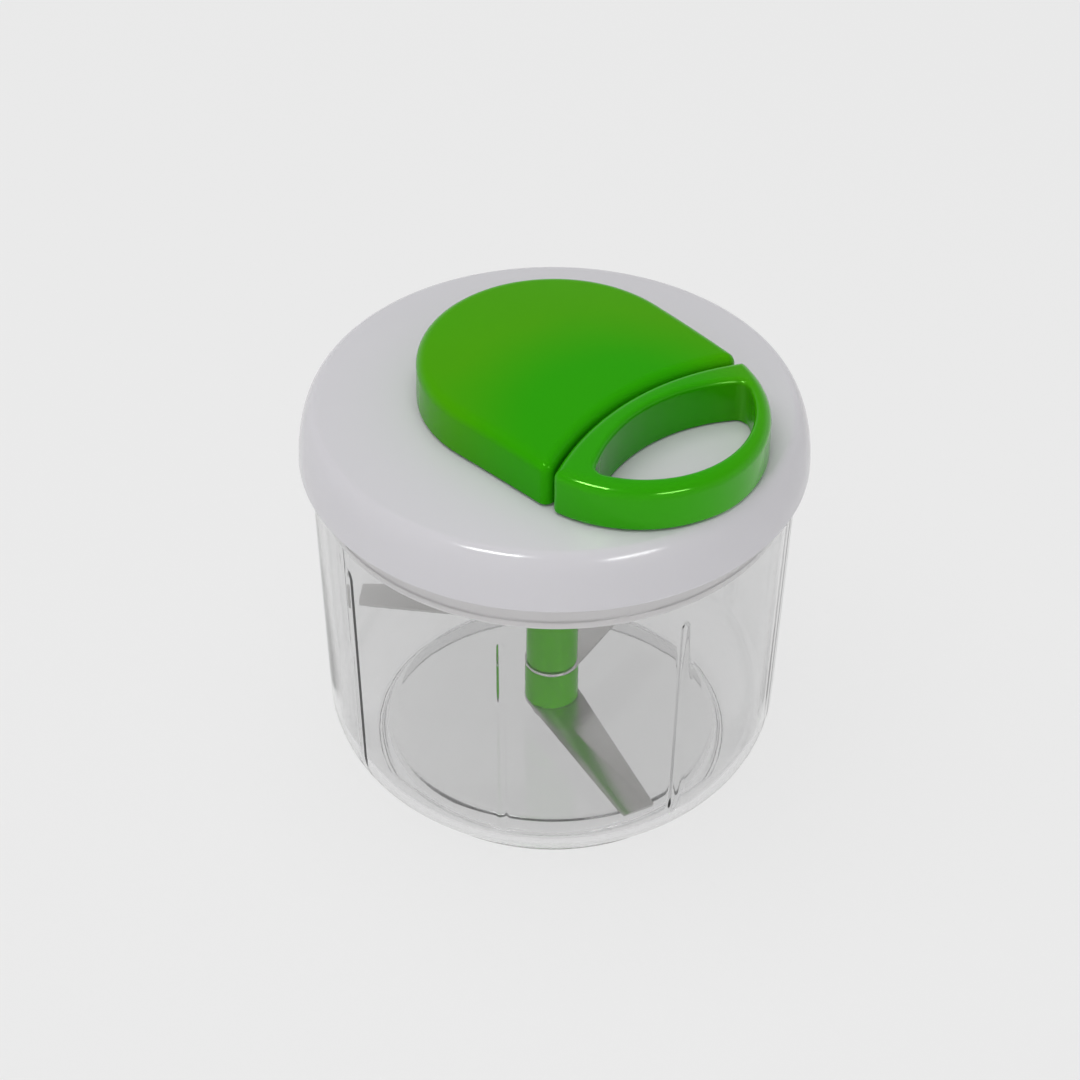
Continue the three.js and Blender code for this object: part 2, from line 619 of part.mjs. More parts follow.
// The stretch of cord from the drum through the bush into the handle
function makeCordRun() {
  const leave = new THREE.Vector3(layRadius * Math.cos(leaveTurn), -layRadius * Math.sin(leaveTurn), cordZ);
  const mouth = new THREE.Vector3(wallBackX, 0, cordZ);
  const points = leaveShares.map((share) => leave.clone().lerp(mouth, share));
  points.push(
    new THREE.Vector3(wallBackX - cordRadius / 8, -cordRadius / 8, cordZ),
    new THREE.Vector3(wallBackX + housingWall / 2, 0, cordZ),
    new THREE.Vector3(handleBackX, 0, cordZ),
    new THREE.Vector3(pocketX0, 0, cordZ),
  );
  const route = new THREE.CatmullRomCurve3(points, false, 'centripetal');
  const rim = arc(0, 0, cordRadius, 0, 2 * Math.PI * (1 - 1 / cordSides), cordSides - 1);
  const section = new THREE.Shape(rim.map(([x, y]) => new THREE.Vector2(x, y)));
  const options = { steps: cordSteps, extrudePath: route, bevelEnabled: false };
  return closed(new THREE.ExtrudeGeometry(section, options));
}

// Drum with two flanges, a spring recess above its web and a clutch recess below
function makeReel() {
  const body = turned([
    [drumRadius, drumZ], [reelRadius, drumZ], [reelRadius, grooveZ0], [drumRadius, grooveZ0],
    [drumRadius, grooveZ1], [reelRadius, grooveZ1], [reelRadius, grooveZ1 + flangeThickness],
    [drumRadius, grooveZ1 + flangeThickness], [drumRadius, reelTopZ], [springOuter, reelTopZ],
    [springOuter, webZ1], [axleRadius + seatGap, webZ1], [axleRadius + seatGap, webZ0],
    [springOuter, webZ0], [springOuter, drumZ],
  ], 2 * smallSides);
  const pins = [0, 180].map((a) => disc(pawlPivotRadius, drumZ, webZ0 + weld)
    .translate(pawlCircle, 0, 0).rotateZ(radians(a)));
  return join(body, ...pins);
}

const pawlZ = drumZ + seatGap;
const pawlHeight = webZ0 - drumZ - 2 * seatGap;

// A pawl in its own place on the +X side: an eye on the pin and a nose that
// rests in a tooth gap, clear of the wheel, and pushes the wheel along
function makePawl() {
  const eye = pawlWidth / 2;
  const noseR = ratchetRadius - toothDepth + cordPlay;
  const noseTurn = 2 * Math.PI / ratchetTeeth * toothShare - cordPlay / noseR;
  const nose = new THREE.Vector2(noseR * Math.cos(noseTurn) - pawlCircle, noseR * Math.sin(noseTurn));
  const outward = new THREE.Vector2(nose.y, -nose.x).setLength(eye * noseShare);
  const arm = [outward.clone().negate(), nose, nose.clone().add(outward), outward].map((v) => [v.x, v.y]);
  const top = pawlZ + pawlHeight;
  const body = join(disc(eye, pawlZ, top, tinySides), raised(arm, pawlZ, top));
  const eyeHole = disc(pawlPivotRadius + seatGap / 2, pawlZ - cutOverrun, top + cutOverrun, tinySides);
  return cut(body, eyeHole).translate(pawlCircle, 0, 0);
}

function makeWinding() {
  return ring(drumRadius + seatGap, windingOuter, grooveZ0 + seatGap, grooveZ1 - seatGap, 2 * smallSides);
}

// Flat spiral spring in the reel, from the post to the recess wall
function makeSpring() {
  const z0 = webZ1 + seatGap;
  const inner = postRadius + 2 * seatGap;
  const outer = springOuter - 2 * seatGap - springStrip;
  const steps = springTurns * tinySides;
  const line = (off) => Array.from({ length: steps + 1 }, (_, i) => {
    const t = i / steps;
    const r = inner + (outer - inner) * t + off;
    const a = 2 * Math.PI * springTurns * t;
    return [r * Math.cos(a), r * Math.sin(a)];
  });
  return raised([...line(0), ...line(springStrip).reverse()], z0, z0 + springHeight);
}

function makeAxle() {
  const z0 = webZ0 - ratchetHeight / 2;
  return disc(axleRadius, z0, ceilingZ - 2 * seatGap);
}

const wheelZ = lidTopZ + 2 * seatGap + washerThickness;

// Ratchet wheel with a stub that goes down through the lid
function makeRatchet() {
  const outline = [];
  for (let i = 0; i < ratchetTeeth; i += 1) {
    const a = 2 * Math.PI * i / ratchetTeeth;
    outline.push([ratchetRadius * Math.cos(a), ratchetRadius * Math.sin(a)]);
    const b = a + 2 * Math.PI / ratchetTeeth * toothShare;
    outline.push([(ratchetRadius - toothDepth) * Math.cos(b), (ratchetRadius - toothDepth) * Math.sin(b)]);
  }
  const top = webZ0 - seatGap;
  const wheel = raised(outline, wheelZ, top);
  const stub = disc(shaftRadius, shaftZ, wheelZ + weld);
  const recess = disc(axleRadius + seatGap, webZ0 - ratchetHeight / 2 - seatGap, top + cutOverrun);
  const pilot = disc(screwRadius + seatGap / 2, shaftZ - cutOverrun, shaftZ + screwLength / 2 + seatGap);
  return cut(join(wheel, stub), recess, pilot);
}

const shaftZ = shoulderZ - lidWall - 2 * seatGap;
const socketMouthZ = hubStackTop + seatGap * 2;
const socketRoofZ = hubStackTop + hexLength + seatGap;

function makeSocket() {
  const top = shaftZ - seatGap;
  const body = turned([
    [0, socketMouthZ], [socketRadius, socketMouthZ], [socketRadius, top - socketWall],
    [shaftRadius, top], [0, top],
  ]);
  const headZ = socketRoofZ + screwHeadHeight;
  const mouth = raised(flats(hexAcross + 2 * seatGap, 6), socketMouthZ - cutOverrun, headZ);
  const hole = disc(screwRadius + seatGap / 2, socketRoofZ, top + cutOverrun);
  return cut(body, mouth, hole);
}

function makeWasher() {
  const inner = shaftRadius + 2 * seatGap;
  return ring(inner, ratchetRadius, lidTopZ + seatGap, lidTopZ + seatGap + washerThickness);
}

// A pan-head screw whose head is down at z
const makeScrew = (z, length) => turned([
  [0, z - screwHeadHeight], [screwHeadRadius * screwCrownShare, z - screwHeadHeight],
  [screwHeadRadius, z - screwHeadHeight / 2],
  [screwHeadRadius, z], [screwRadius, z], [screwRadius, z + length - screwRadius], [0, z + length],
], tinySides);

const finish = (color, roughness, metalness = 0, opacity = 1) => new THREE.MeshStandardMaterial({
  color, roughness, metalness, opacity, transparent: opacity < 1,
});
const finishes = {
  clear: finish(0xe4e8ea, 0.08, 0, 0.3),
  white: finish(0xe6e4e8, 0.32),
  green: finish(0x3fa010, 0.22),
  blade: finish(0xb4b4b0, 0.3, 1),
  steel: finish(0x9a9a98, 0.25, 1),
  grey: finish(0x9b9c9e, 0.5),
  silicone: finish(0xd8dadc, 0.6),
  cord: finish(0xf0f0ee, 0.8),
};

const chopper = new THREE.Group();

function add(parent, name, geometry, material) {
  const mesh = new THREE.Mesh(geometry, finishes[material]);
  mesh.name = name;
  parent.add(mesh);
  return mesh;
}

// Bowl and pin
const bowl = new THREE.Group();
add(bowl, 'bowl', makeBowl(), 'clear');
add(bowl, 'pivot_pin', makePin(), 'steel');

// Blade unit
const bladeUnit = new THREE.Group();
add(bladeUnit, 'hub_spindle', makeSpindle(), 'white');
add(bladeUnit, 'lower_sleeve', makeSleeve(lowerSleeveZ, lowerSleeveLength, hubRadius), 'green');
add(bladeUnit, 'middle_sleeve', makeSleeve(middleSleeveZ, middleSleeveLength, upperHubRadius), 'green');
add(bladeUnit, 'upper_sleeve', makeUpperSleeve(), 'green');
add(bladeUnit, 'lower_blade', makeBlade(lowerBladeZ, lowerBladeAngle), 'blade');
add(bladeUnit, 'middle_blade', makeBlade(middleBladeZ, lowerBladeAngle + bladeSpread), 'blade');
add(bladeUnit, 'upper_blade', makeBlade(upperBladeZ, lowerBladeAngle + 2 * bladeSpread), 'blade');

// Lid with the housing on it
const lid = new THREE.Group();
add(lid, 'lid_shell', makeLidShell(), 'white');
add(lid, 'lid_cover', makeLidCover(), 'white');
add(lid, 'lid_seal', makeSeal(), 'silicone');
add(lid, 'housing', makeHousing(), 'green');
add(lid, 'cord_eyelet', makeEyelet(), 'steel');
add(lid, 'reel_axle', makeAxle(), 'steel');
add(lid, 'recoil_spring', makeSpring(), 'steel');
add(lid, 'thrust_washer', makeWasher(), 'grey');
add(lid, 'cord_run', makeCordRun(), 'cord');
housingScrewTurns.forEach((a, i) => {
  const x = housingBossCircle * Math.cos(radians(a));
  const y = housingBossCircle * Math.sin(radians(a));
  const z = lidSurface(housingBossCircle + screwHeadRadius, lidWall) - seatGap;
  add(lid, `housing_screw_${i + 1}`, makeScrew(z, screwLength + lidWall), 'steel').position.set(x, y, 0);
});
plateScrewTurns.forEach((a, i) => {
  const x = lidBossCircle * Math.cos(radians(a));
  const y = lidBossCircle * Math.sin(radians(a));
  add(lid, `cover_screw_${i + 1}`, makeScrew(plateZ - seatGap, screwLength), 'steel').position.set(x, y, 0);
});

// Reel with its clutch
const reel = new THREE.Group();
add(reel, 'cord_reel', makeReel(), 'grey');
add(reel, 'cord_winding', makeWinding(), 'cord');
add(reel, 'pawl_front', makePawl(), 'steel');
add(reel, 'pawl_rear', makePawl(), 'steel').rotation.z = Math.PI;

// Drive through the lid
const drive = new THREE.Group();
add(drive, 'ratchet_wheel', makeRatchet(), 'steel');
add(drive, 'drive_socket', makeSocket(), 'grey');
const driveScrewLength = shaftZ - socketRoofZ + screwLength / 4;
add(drive, 'drive_screw', makeScrew(socketRoofZ + screwHeadHeight - seatGap, driveScrewLength), 'steel');

// Pull handle
const handle = new THREE.Group();
add(handle, 'pull_handle', makeHandle(), 'green');
add(handle, 'cord_knot', makeKnot(), 'steel');
add(handle, 'knot_cover', makeKnotCover(), 'green');

chopper.add(bowl, bladeUnit, lid, reel, drive, handle);

export default chopper;
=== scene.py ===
"""Food chopper worked by a pull cord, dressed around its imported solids.

Meshes are shaped in millimetres in the object's own frame and written in metres. +Z is up, the origin is
on the table under the middle of the bowl, and the ring handle is pulled along +X.
"""
import logging
import math
from collections.abc import Callable, Sequence
from dataclasses import dataclass
from enum import Enum

import bmesh
import bpy
from mathutils import Matrix, Vector


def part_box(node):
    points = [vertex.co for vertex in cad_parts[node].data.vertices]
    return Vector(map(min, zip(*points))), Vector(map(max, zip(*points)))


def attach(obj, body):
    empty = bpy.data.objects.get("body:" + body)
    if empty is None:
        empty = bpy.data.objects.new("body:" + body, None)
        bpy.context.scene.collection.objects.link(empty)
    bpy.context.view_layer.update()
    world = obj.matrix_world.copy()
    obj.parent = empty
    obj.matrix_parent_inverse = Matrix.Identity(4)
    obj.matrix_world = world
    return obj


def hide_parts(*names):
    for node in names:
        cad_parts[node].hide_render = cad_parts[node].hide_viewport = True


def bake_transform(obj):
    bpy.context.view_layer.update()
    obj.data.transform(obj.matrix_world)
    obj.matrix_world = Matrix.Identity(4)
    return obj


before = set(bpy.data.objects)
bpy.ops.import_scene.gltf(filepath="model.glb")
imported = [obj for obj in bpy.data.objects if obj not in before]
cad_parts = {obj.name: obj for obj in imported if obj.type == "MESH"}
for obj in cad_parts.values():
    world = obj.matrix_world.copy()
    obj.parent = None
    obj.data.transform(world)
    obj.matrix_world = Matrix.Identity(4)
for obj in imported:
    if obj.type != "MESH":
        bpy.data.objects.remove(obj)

MM = 0.001
TAU = 2 * math.pi
MERGE = 1e-4  # distance within which points become one
OVERRUN = 1.0  # how far a cutting tool reaches past the body
BITE = 0.4  # how far a joined shape reaches into the body
TIGHT = 0.1  # hold of a small outline, see eased
SHARP = math.radians(38)  # angle from which an edge stays sharp
TUBE_SIDES = 20
BLADE_TURNS = (-18.4, 101.6, 221.6)
PACKED_STEEL = ("recoil_spring", "pawl_front", "pawl_rear", "ratchet_wheel", "drive_screw")
log = logging.getLogger("food_chopper")

Point = tuple[float, float]
Place = tuple[float, float, float]
Colour = tuple[float, float, float]
Ring = list[Place]


class Join(Enum):
    """How a tool shape acts on a body."""

    CUT = "DIFFERENCE"
    ADD = "UNION"


class Gloss(Enum):
    """Roughness of a moulded surface."""

    POLISHED = 0.12
    BRIGHT = 0.2
    SATIN = 0.18
    MATT = 0.55


# Shaping meshes


def box_mm(node: str) -> tuple[Vector, Vector]:
    """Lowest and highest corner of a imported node, in millimetres."""
    low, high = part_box(node)
    return low / MM, high / MM


def eased(points: Sequence[tuple], steps: int = 5, hold: float = 0.25, closed: bool = False) -> list[Point]:
    """Rounds the corners of an outline that carry a radius.

    Args:
        points: (x, y) or (x, y, radius) for each corner, in millimetres.
        steps: flats in each rounded corner.
        hold: distance past a rounding at which a point keeps the flat beside it flat.
        closed: whether the last point joins the first.

    Returns:
        The outline's points.
    """
    line: list[Point] = []
    count = len(points)
    for i, point in enumerate(points):
        here = Vector(point[:2])
        end = not closed and i in (0, count - 1)
        if len(point) < 3 or end:
            line.append((here.x, here.y))
            continue
        radius = point[2]
        before = Vector(points[i - 1][:2]) - here
        after = Vector(points[(i + 1) % count][:2]) - here
        room = (before.length, after.length)
        before.normalize()
        after.normalize()
        half = before.angle(after) / 2
        back = radius / math.tan(half)
        middle = here + (before + after).normalized() * radius / math.sin(half)
        first, last = here + before * back - middle, here + after * back - middle
        sweep = math.pi - 2 * half
        if room[0] > 2 * (back + hold):
            line.append(tuple(here + before * (back + hold)))
        for k in range(steps + 1):
            share = k / steps
            weights = math.sin((1 - share) * sweep), math.sin(share * sweep)
            line.append(tuple(middle + (first * weights[0] + last * weights[1]) / math.sin(sweep)))
        if room[1] > 2 * (back + hold):
            line.append(tuple(here + after * (back + hold)))
    return line


def smooth(share: float) -> float:
    """A share, held between 0 and 1, with a soft start and end."""
    held = min(1.0, max(0.0, share))
    return held * held * (3 - 2 * held)


def arc(cx: float, cy: float, radius: float, start: float, end: float, steps: int) -> list[Point]:
    """Points of an arc from one angle to another in radians, both ends included."""
    turns = (start + (end - start) * i / steps for i in range(steps + 1))
    return [(cx + radius * math.cos(t), cy + radius * math.sin(t)) for t in turns]


def tidied(bm: bmesh.types.BMesh) -> bmesh.types.BMesh:
    """Merges the doubled points of a mesh and turns its faces outwards.

    Args:
        bm: the mesh.

    Returns:
        The same mesh.
    """
    bmesh.ops.remove_doubles(bm, verts=bm.verts, dist=MERGE)
    bmesh.ops.recalc_face_normals(bm, faces=bm.faces)
    return bm


def turned(profile: Sequence[Point], steps: int = 96) -> bmesh.types.BMesh:
    """Spins a profile of (radius, height) points round the Z axis.

    Args:
        profile: points in millimetres, either ending on the axis or closing on itself.
        steps: flats round the axis.

    Returns:
        The closed mesh.
    """
    bm = bmesh.new()
    verts = [bm.verts.new((r, 0, z)) for r, z in profile]
    pairs = list(zip(verts, verts[1:]))
    if profile[0][0] or profile[-1][0]:
        pairs.append((verts[-1], verts[0]))
    edges = [bm.edges.new(pair) for pair in pairs]
    bmesh.ops.spin(
        bm, geom=verts + edges, cent=(0, 0, 0), axis=(0, 0, 1), angle=TAU, steps=steps, use_merge=True)
    return tidied(bm)


def swept(bm: bmesh.types.BMesh, rings: Sequence[Ring]) -> list[list[bmesh.types.BMVert]]:
    """Sweeps a closed loop of edges through rings of equal point counts.

    Args:
        bm: the mesh that takes the faces.
        rings: the places of the loop's points, ring by ring.

    Returns:
        The mesh's own points, ring by ring.
    """
    verts = [bm.verts.new(spot) for spot in rings[0]]
    edges = [bm.edges.new(pair) for pair in zip(verts, verts[1:] + verts[:1])]
    made = [verts]
    for ring in rings[1:]:
        grown = bmesh.ops.extrude_edge_only(bm, edges=edges)["geom"]
        fresh = {g for g in grown if isinstance(g, bmesh.types.BMVert)}
        verts = [next(o for o in (e.other_vert(v) for e in v.link_edges) if o in fresh) for v in verts]
        edges = [g for g in grown if isinstance(g, bmesh.types.BMEdge) and set(g.verts) <= fresh]
        for vert, spot in zip(verts, ring):
            vert.co = spot
        made.append(verts)
    return made


def lofted(rings: Sequence[Ring]) -> bmesh.types.BMesh:
    """Lays a closed skin through rings of equal point counts.

    Args:
        rings: the rings' points. The last ring is the first again, or both are single points.

    Returns:
        The closed mesh.
    """
    bm = bmesh.new()
    swept(bm, rings)
    return tidied(bm)


def raised(outline: Sequence[Point], z0: float, z1: float) -> bmesh.types.BMesh:
    """Raises a flat closed outline from one height to another.

    Args:
        outline: its points in plan.
        z0: the lower height.
        z1: the upper height.

    Returns:
        The closed mesh.
    """
    bm = bmesh.new()
    face = bm.faces.new([bm.verts.new((x, y, z0)) for x, y in outline])
    grown = bmesh.ops.extrude_face_region(bm, geom=[face])["geom"]
    bmesh.ops.translate(
        bm, vec=(0, 0, z1 - z0), verts=[g for g in grown if isinstance(g, bmesh.types.BMVert)])
    bmesh.ops.recalc_face_normals(bm, faces=bm.faces)
    return bm


def disc(radius: float, z0: float, z1: float, steps: int = 48, at: Point = (0, 0)) -> bmesh.types.BMesh:
    """A plain round bar that stands on end.

    Args:
        radius: its radius.
        z0: its lower end.
        z1: its upper end.
        steps: flats round it.
        at: its middle in plan.

    Returns:
        The closed mesh.
    """
    bm = bmesh.new()
    bmesh.ops.create_cone(
        bm, cap_ends=True, segments=steps, radius1=radius, radius2=radius, depth=z1 - z0,
        matrix=Matrix.Translation((*at, (z0 + z1) / 2)))
    return bm


def bevelled(bm: bmesh.types.BMesh, edge: float) -> bmesh.types.BMesh:
    """Rounds every edge of a mesh.

    Args:
        bm: the mesh.
        edge: width that the rounding takes from each face.

    Returns:
        The same mesh.
    """
    bmesh.ops.bevel(
        bm, geom=bm.edges[:], offset=edge, segments=3, profile=0.5, affect="EDGES", material=-1)
    return bm


def block(low: Place, high: Place, edge: float = 0) -> bmesh.types.BMesh:
    """A box between two corners.

    Args:
        low: its lowest corner.
        high: its highest corner.
        edge: rounding of its edges, or 0.

    Returns:
        The closed mesh.
    """
    bm = bmesh.new()
    size = [b - a for a, b in zip(low, high)]
    middle = [(a + b) / 2 for a, b in zip(low, high)]
    bmesh.ops.create_cube(bm, size=1, matrix=Matrix.Translation(middle) @ Matrix.Diagonal((*size, 1)))
    return bevelled(bm, edge) if edge else bm


def flats(across: float, sides: int, grow: float = 0) -> list[Point]:
    """Outline of a square or hexagon by its width across flats."""
    radius = (across / 2 + grow) / math.cos(math.pi / sides)
    return arc(0, 0, radius, math.pi / sides, math.pi / sides + TAU * (1 - 1 / sides), sides - 1)


def moved(bm: bmesh.types.BMesh, matrix: Matrix) -> bmesh.types.BMesh:
    """Transforms a mesh and returns it."""
    bmesh.ops.transform(bm, matrix=matrix, verts=bm.verts)
    return bm


def laid(bm: bmesh.types.BMesh, x: float, z: float) -> bmesh.types.BMesh:
    """Lays a mesh that stands on the origin down along +X, starting from x at height z."""
    return moved(bm, Matrix.Translation((x, 0, z)) @ Matrix.Rotation(math.pi / 2, 4, "Y"))


def loose(name: str, bm: bmesh.types.BMesh) -> bpy.types.Object:
    """Puts a shape into an object of its own.

    Args:
        name: name of the object and its mesh.
        bm: the shape, which is used up.

    Returns:
        The object.
    """
    mesh = bpy.data.meshes.new(name)
    bm.to_mesh(mesh)
    bm.free()
    made = bpy.data.objects.new(name, mesh)
    bpy.context.scene.collection.objects.link(made)
    return made


def worked(body: bmesh.types.BMesh, *tools: bmesh.types.BMesh, how: Join = Join.CUT) -> bmesh.types.BMesh:
    """Cuts or joins tool shapes into a body.

    Args:
        body: the shape that stays.
        tools: the shapes that cut it or join it, which are used up.
        how: whether they cut or join.

    Returns:
        The new mesh.
    """
    held = loose("held", body)
    used = [loose("tool", tool) for tool in tools]
    for tool in used:
        step = held.modifiers.new("work", "BOOLEAN")
        step.operation = how.value
        step.solver = "EXACT"
        step.object = tool
    done = held.evaluated_get(bpy.context.evaluated_depsgraph_get())
    bm = bmesh.new()
    bm.from_mesh(done.data)
    for made in [held, *used]:
        mesh = made.data
        bpy.data.objects.remove(made)
        bpy.data.meshes.remove(mesh)
    return bm


# Finishes


def place(
    tree: bpy.types.NodeTree, kind: str, inputs: dict | None = None, **settings: object,
) -> bpy.types.Node:
    """Adds a shader node.

    Args:
        tree: the node tree.
        kind: the node's type.
        inputs: a value, or a socket to link, for each named or numbered input.
        settings: the node's own properties.

    Returns:
        The node.
    """
    made = tree.nodes.new(kind)
    for key, value in settings.items():
        setattr(made, key, value)
    for key, value in (inputs or {}).items():
        if isinstance(value, bpy.types.NodeSocket):
            tree.links.new(value, made.inputs[key])
        else:
            made.inputs[key].default_value = value
    return made


def maths(tree: bpy.types.NodeTree, operation: str, *values: object) -> bpy.types.NodeSocket:
    """Result of a Math node on up to three values or sockets."""
    return place(tree, "ShaderNodeMath", dict(enumerate(values)), operation=operation).outputs[0]


def new_group(
    name: str, inputs: dict[str, object], outputs: Sequence[str],
) -> tuple[bpy.types.NodeTree, bpy.types.Node, bpy.types.Node]:
    """Starts a shader group.

    Args:
        name: the group's name.
        inputs: each input's name and value: a colour, or a number.
        outputs: names of the outputs, "Colour", "Normal" or any value's name.

    Returns:
        The tree, its input node and its output node.
    """
    tree = bpy.data.node_groups.new(name, "ShaderNodeTree")
    for label, value in inputs.items():
        kind = "NodeSocketFloat" if isinstance(value, float) else "NodeSocketColor"
        tree.interface.new_socket(label, in_out="INPUT", socket_type=kind).default_value = value
    kinds = {"Colour": "NodeSocketColor", "Normal": "NodeSocketVector"}
    for label in outputs:
        tree.interface.new_socket(label, in_out="OUTPUT", socket_type=kinds.get(label, "NodeSocketFloat"))
    return tree, tree.nodes.new("NodeGroupInput"), tree.nodes.new("NodeGroupOutput")


def finished(
    tree: bpy.types.NodeTree, result: bpy.types.Node, tone: bpy.types.Node, rough: bpy.types.NodeSocket,
    distance: bpy.types.NodeSocket, height: bpy.types.NodeSocket,
) -> bpy.types.NodeTree:
    """Links a surface group's colour, roughness and bump to its outputs.

    Args:
        tree: the group.
        result: its output node.
        tone: the node that gives the colour.
        rough: the roughness, which is kept between polished and matt.
        distance: depth of the bump in metres.
        height: the bump's height.

    Returns:
        The group.
    """
    level = place(tree, "ShaderNodeClamp", {"Value": rough, "Min": 0.01, "Max": 1.0})
    bump = place(tree, "ShaderNodeBump", {"Strength": 1.0, "Distance": distance, "Height": height})
    tree.links.new(tone.outputs["Color"], result.inputs["Colour"])
    tree.links.new(level.outputs[0], result.inputs["Roughness"])
    tree.links.new(bump.outputs["Normal"], result.inputs["Normal"])
    return tree


def moulded_skin() -> bpy.types.NodeTree:
    """Group for moulded plastic: slow colour drift, a second colour laid on by a mask for painted light and
    shade, smudges, hairlines and the mould's faint ripple.

    Returns:
        The group.
    """
    inputs = {
        "Colour": (0.5, 0.5, 0.5, 1.0), "Painted_Light_Colour": (0.5, 0.5, 0.5, 1.0), "Painted_Light_Share": 0.0, "Drift": 0.05,
        "Roughness": 0.25, "Smudge": 0.08, "Hairlines": 0.1, "Ripple": 0.00002,
    }
    tree, given, result = new_group("moulded_skin", inputs, ["Colour", "Roughness", "Normal"])
    spot = place(tree, "ShaderNodeTexCoord").outputs["Object"]

    def noise(scale: float, detail: float, vector: bpy.types.NodeSocket = spot) -> bpy.types.NodeSocket:
        """A noise on the object's coordinates."""
        values = {"Vector": vector, "Scale": scale, "Detail": detail, "Roughness": 0.55}
        return place(tree, "ShaderNodeTexNoise", values).outputs["Fac"]

    slow = maths(tree, "SUBTRACT", noise(24, 2), 0.5)
    drift = maths(tree, "MULTIPLY_ADD", slow, given.outputs["Drift"], 1.0)
    share = maths(tree, "MULTIPLY_ADD", maths(tree, "SUBTRACT", noise(40, 2), 0.5), 0.5, 1.0)
    # Painted light and shade: the second colour is blended in by the given mask, broken up by noise.
    blend = place(tree, "ShaderNodeMix", {
        0: maths(tree, "MULTIPLY", given.outputs["Painted_Light_Share"], share), 6: given.outputs["Colour"],
        7: given.outputs["Painted_Light_Colour"]}, data_type="RGBA")
    tone = place(tree, "ShaderNodeHueSaturation", {"Color": blend.outputs[2], "Value": drift})
    smudge = maths(tree, "SUBTRACT", noise(70, 4), 0.5)
    turned_spot = place(
        tree, "ShaderNodeMapping",
        {"Vector": spot, "Rotation": (0.2, 0.1, 0.7), "Scale": (2200, 70, 500)}).outputs[0]
    lines = maths(tree, "GREATER_THAN", noise(1, 1, turned_spot), 0.74)
    rough = maths(tree, "MULTIPLY_ADD", smudge, given.outputs["Smudge"], given.outputs["Roughness"])
    rough = maths(tree, "MULTIPLY_ADD", lines, given.outputs["Hairlines"], rough)
    height = maths(tree, "MULTIPLY_ADD", noise(110, 2), 1.0, maths(tree, "MULTIPLY", noise(1400, 1), 0.12))
    return finished(tree, result, tone, rough, given.outputs["Ripple"], height)


def metal_skin() -> bpy.types.NodeTree:
    """Group for worked metal: streaks along one direction, stains and a fine tooth in the normal.

    Returns:
        The group.
    """
    inputs = {
        "Colour": (0.6, 0.6, 0.6, 1.0), "Streaks": 0.1, "Roughness": 0.25, "Stain": 0.08,
        "Tooth": 0.0000008, "Turn": 0.0,
    }
    tree, given, result = new_group("metal_skin", inputs, ["Colour", "Roughness", "Normal"])
    spot = place(tree, "ShaderNodeTexCoord").outputs["Object"]
    turn = place(tree, "ShaderNodeCombineXYZ", {"Z": given.outputs["Turn"]}).outputs[0]
    level = place(tree, "ShaderNodeMapping", {"Vector": spot, "Rotation": turn}).outputs[0]
    combed = place(tree, "ShaderNodeMapping", {"Vector": level, "Scale": (60, 3800, 3800)}).outputs[0]
    fine = place(tree, "ShaderNodeTexNoise", {"Vector": combed, "Scale": 1.0, "Detail": 3.0})
    wide = place(tree, "ShaderNodeTexNoise", {"Vector": spot, "Scale": 65.0, "Detail": 4.0})
    streak = fine.outputs["Fac"]
    centred = maths(tree, "SUBTRACT", streak, 0.5)
    spread = maths(tree, "SUBTRACT", wide.outputs["Fac"], 0.5)
    value = maths(tree, "MULTIPLY_ADD", centred, given.outputs["Streaks"], 1.0)
    value = maths(tree, "MULTIPLY_ADD", spread, given.outputs["Stain"], value)
    tone = place(tree, "ShaderNodeHueSaturation", {"Color": given.outputs["Colour"], "Value": value})
    rough = maths(tree, "MULTIPLY_ADD", centred, given.outputs["Streaks"], given.outputs["Roughness"])
    rough = maths(tree, "MULTIPLY_ADD", spread, given.outputs["Stain"], rough)
    return finished(tree, result, tone, rough, given.outputs["Tooth"], streak)


def near_mask(tree: bpy.types.NodeTree, middle: Place, first: float, last: float) -> bpy.types.NodeSocket:
    """Mask that grows with the distance from a point.

    Args:
        tree: the node tree.
        middle: the point, in metres.
        first: distance up to which it is 0.
        last: distance from which it is 1.

    Returns:
        The mask.
    """
    spot = place(tree, "ShaderNodeTexCoord").outputs["Object"]
    away = place(tree, "ShaderNodeVectorMath", {0: spot, 1: middle}, operation="DISTANCE").outputs[1]
    spans = {0: away, 1: first, 2: last}
    return place(tree, "ShaderNodeMapRange", spans, interpolation_type="SMOOTHSTEP").outputs[0]


def new_material(name: str) -> tuple[bpy.types.Material, bpy.types.NodeTree, bpy.types.Node]:
    """A material with an empty node tree.

    Args:
        name: the material's name.

    Returns:
        The material, its node tree and its output node.
    """
    made = bpy.data.materials.new(name)
    made.use_nodes = True
    made.node_tree.nodes.clear()
    return made, made.node_tree, made.node_tree.nodes.new("ShaderNodeOutputMaterial")


